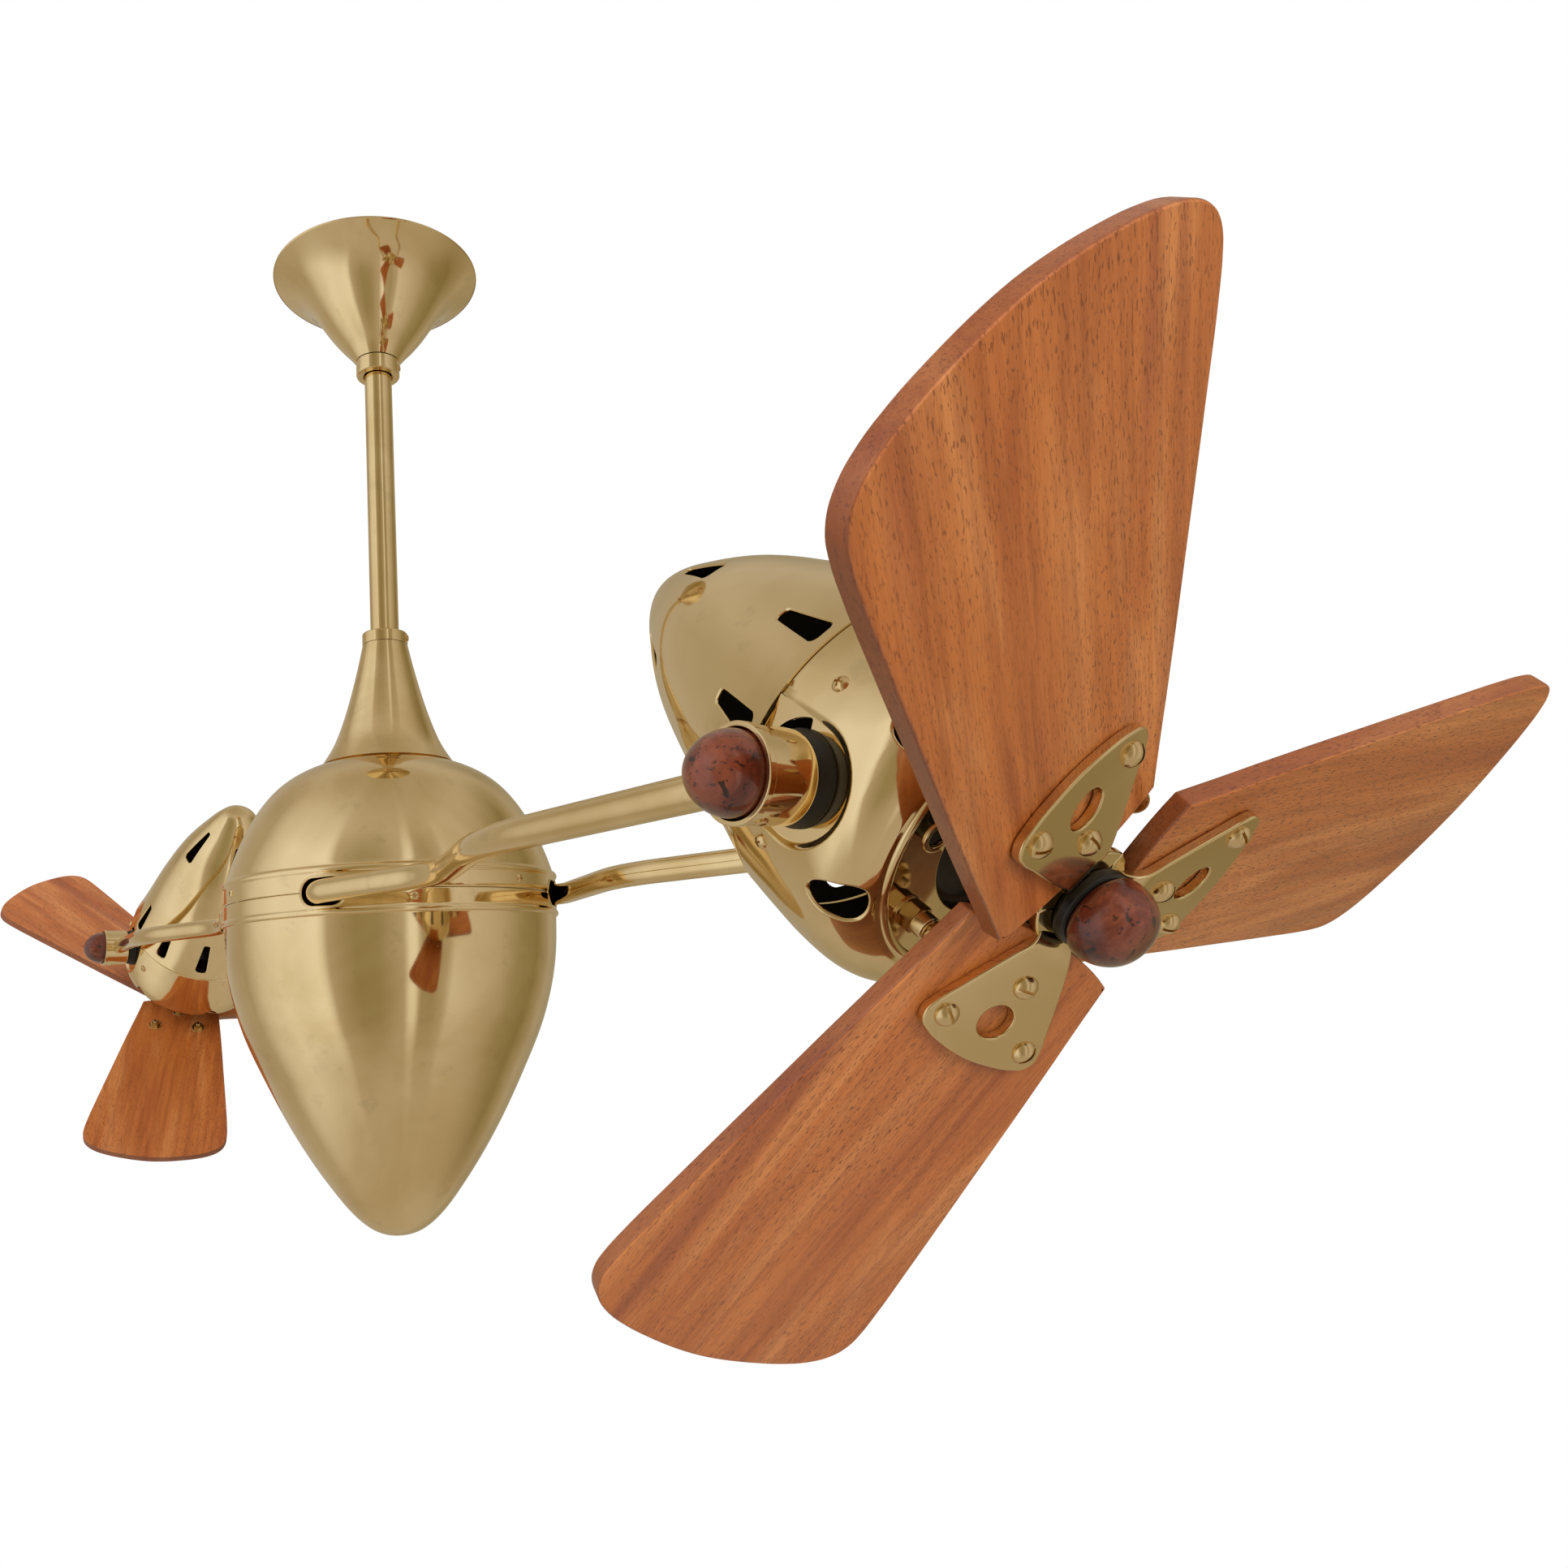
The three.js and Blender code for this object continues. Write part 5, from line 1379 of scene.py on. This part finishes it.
world = bpy.data.worlds.new("studio")
scene.world = world
world.use_nodes = True
wt = world.node_tree
wt.nodes.clear()
W = lambda kind, **kw: [setattr(x, k, v) or x for x in [wt.nodes.new("ShaderNode" + kind)] for k, v in (kw or {"label": ""}).items()][0]
out = W("OutputWorld")
tc = W("TexCoord")
sep = W("SeparateXYZ")
wt.links.new(tc.outputs["Generated"], sep.inputs[0])
ang = W("Math", operation="ARCTAN2")
wt.links.new(sep.outputs[1], ang.inputs[0])
wt.links.new(sep.outputs[0], ang.inputs[1])
frac = W("MapRange")
frac.inputs[1].default_value = -math.pi
frac.inputs[2].default_value = math.pi
wt.links.new(ang.outputs[0], frac.inputs[0])


def world_ramp(fac, stops):
    r = wt.nodes.new("ShaderNodeValToRGB")
    r.color_ramp.interpolation = "LINEAR"
    els = r.color_ramp.elements
    while len(els) < len(stops):
        els.new(0.5)
    for e, (p, c) in zip(els, stops):
        e.position = p
        e.color = (c, c, c, 1) if not isinstance(c, tuple) else c
    wt.links.new(fac, r.inputs[0])
    return r.outputs[0]


az = lambda d: (d + 180) / 360


def tone(v):
    """A warm studio grey: brown when dark, white when bright."""
    k = (0.0, 0.085, 0.18, 0.255, 0.32, 0.37, 0.48, 0.57, 0.81, 1.0)
    g = (0.0, 0.055, 0.131, 0.20, 0.265, 0.315, 0.42, 0.51, 0.78, 1.0)
    b = (0.0, 0.004, 0.041, 0.092, 0.147, 0.20, 0.33, 0.44, 0.755, 1.0)
    return (float(v), float(np.interp(v, k, g)), float(np.interp(v, k, b)), 1)


around = world_ramp(frac.outputs[0], [(az(d), tone(v)) for d, v in [
    (-180, 0.50), (-160, 0.46), (-146, 0.46), (-130, 0.72), (-110, 0.87), (-92, 0.86), (-77, 0.93), (-73, 0.80), (-69, 0.50), (-62, 0.43), (-50, 0.34), (-36, 0.35),
    (-24, 0.45), (-18, 0.50), (-14, 0.86), (-10, 0.88), (-6, 0.42), (3, 0.40), (12, 0.50), (17, 0.68), (24, 0.64), (34, 0.60), (51, 0.51), (70, 0.365), (92, 0.29),
    (100, 0.36), (115, 0.46), (132, 0.38), (150, 0.42), (165, 0.46), (180, 0.50)]])
zr = W("MapRange")
zr.inputs[1].default_value = -1
zr.inputs[2].default_value = 1
wt.links.new(sep.outputs[2], zr.inputs[0])
calm = world_ramp(zr.outputs[0], [(0.0, tone(0.52)), (0.5, tone(0.50)), (0.9, tone(0.60)), (1.0, tone(0.45))])
flat = world_ramp(zr.outputs[0], [(0.0, 1.0), (0.07, 0.95), (0.14, 0.5), (0.20, 0.1), (0.25, 0.0), (0.80, 0.0), (0.86, 0.4), (0.93, 0.9), (1.0, 1.0)])
blend = W("Mix", data_type="RGBA")
wt.links.new(flat, blend.inputs[0])
wt.links.new(around, blend.inputs[6])
wt.links.new(calm, blend.inputs[7])
bg = W("Background")
wt.links.new(blend.outputs[2], bg.inputs[0])
bg.inputs[1].default_value = 1.0
white = W("Background")
white.inputs[0].default_value = (1, 1, 1, 1)
white.inputs[1].default_value = 1.0
lp = W("LightPath")
ms = W("MixShader")
wt.links.new(lp.outputs["Is Camera Ray"], ms.inputs[0])
wt.links.new(bg.outputs[0], ms.inputs[1])
wt.links.new(white.outputs[0], ms.inputs[2])
wt.links.new(ms.outputs[0], out.inputs[0])


def area(name, loc, target, size, power):
    d = bpy.data.lights.new(name, "AREA")
    d.shape = "RECTANGLE"
    d.size, d.size_y = size
    d.energy = power
    o = bpy.data.objects.new(name, d)
    scene.collection.objects.link(o)
    o.location = loc
    o.rotation_euler = (Vector(target) - Vector(loc)).to_track_quat("-Z", "Y").to_euler()
    o.visible_glossy = False
    return o


area("key", (1.5, -2.2, 0.6), (0.3, 0, -0.5), (1.8, 1.8), 62)
area("fill", (2.0, 0.2, -0.05), (0.6, 0, -0.3), (1.2, 1.2), 17)
area("top", (-0.8, 0.8, 1.9), (0, 0, -0.5), (1.8, 1.8), 22)

cam = bpy.data.cameras.new("hero")
cam.sensor_width = 36
cam.lens = 26.79
cam.clip_start, cam.clip_end = 0.02, 80
camera = bpy.data.objects.new("hero", cam)
scene.collection.objects.link(camera)
yaw, pitch, roll = math.radians(148.6), math.radians(11.6), math.radians(-2.7)
fwd = Vector((math.cos(yaw) * math.cos(pitch), math.sin(yaw) * math.cos(pitch), math.sin(pitch)))
right = fwd.cross(Vector((0, 0, 1))).normalized()
up = right.cross(fwd)
r2 = right * math.cos(roll) + up * math.sin(roll)
u2 = -right * math.sin(roll) + up * math.cos(roll)
camera.matrix_world = Matrix(((r2.x, u2.x, -fwd.x, 0.764), (r2.y, u2.y, -fwd.y, -0.3636), (r2.z, u2.z, -fwd.z, -0.5708), (0, 0, 0, 1)))
scene.camera = camera


def shift_at_hero(prop, value):
    """The lens shift belongs to this one viewpoint; any other camera place has none."""
    fc = cam.driver_add(prop)
    for m in list(fc.modifiers):
        fc.modifiers.remove(m)
    d = fc.driver
    d.type = "AVERAGE"
    v = d.variables.new()
    v.type = "TRANSFORMS"
    v.targets[0].id = camera
    v.targets[0].transform_type = "LOC_X"
    v.targets[0].transform_space = "WORLD_SPACE"
    while len(fc.keyframe_points):
        fc.keyframe_points.remove(fc.keyframe_points[0], fast=True)
    for x, y in ((0.740, 0.0), (0.752, 0.0), (0.764, value), (0.776, 0.0), (0.788, 0.0)):
        k = fc.keyframe_points.insert(x, y)
        k.interpolation = "LINEAR"
    fc.extrapolation = "CONSTANT"


shift_at_hero("shift_x", 0.1765)
shift_at_hero("shift_y", -0.0152)
bpy.context.view_layer.update()
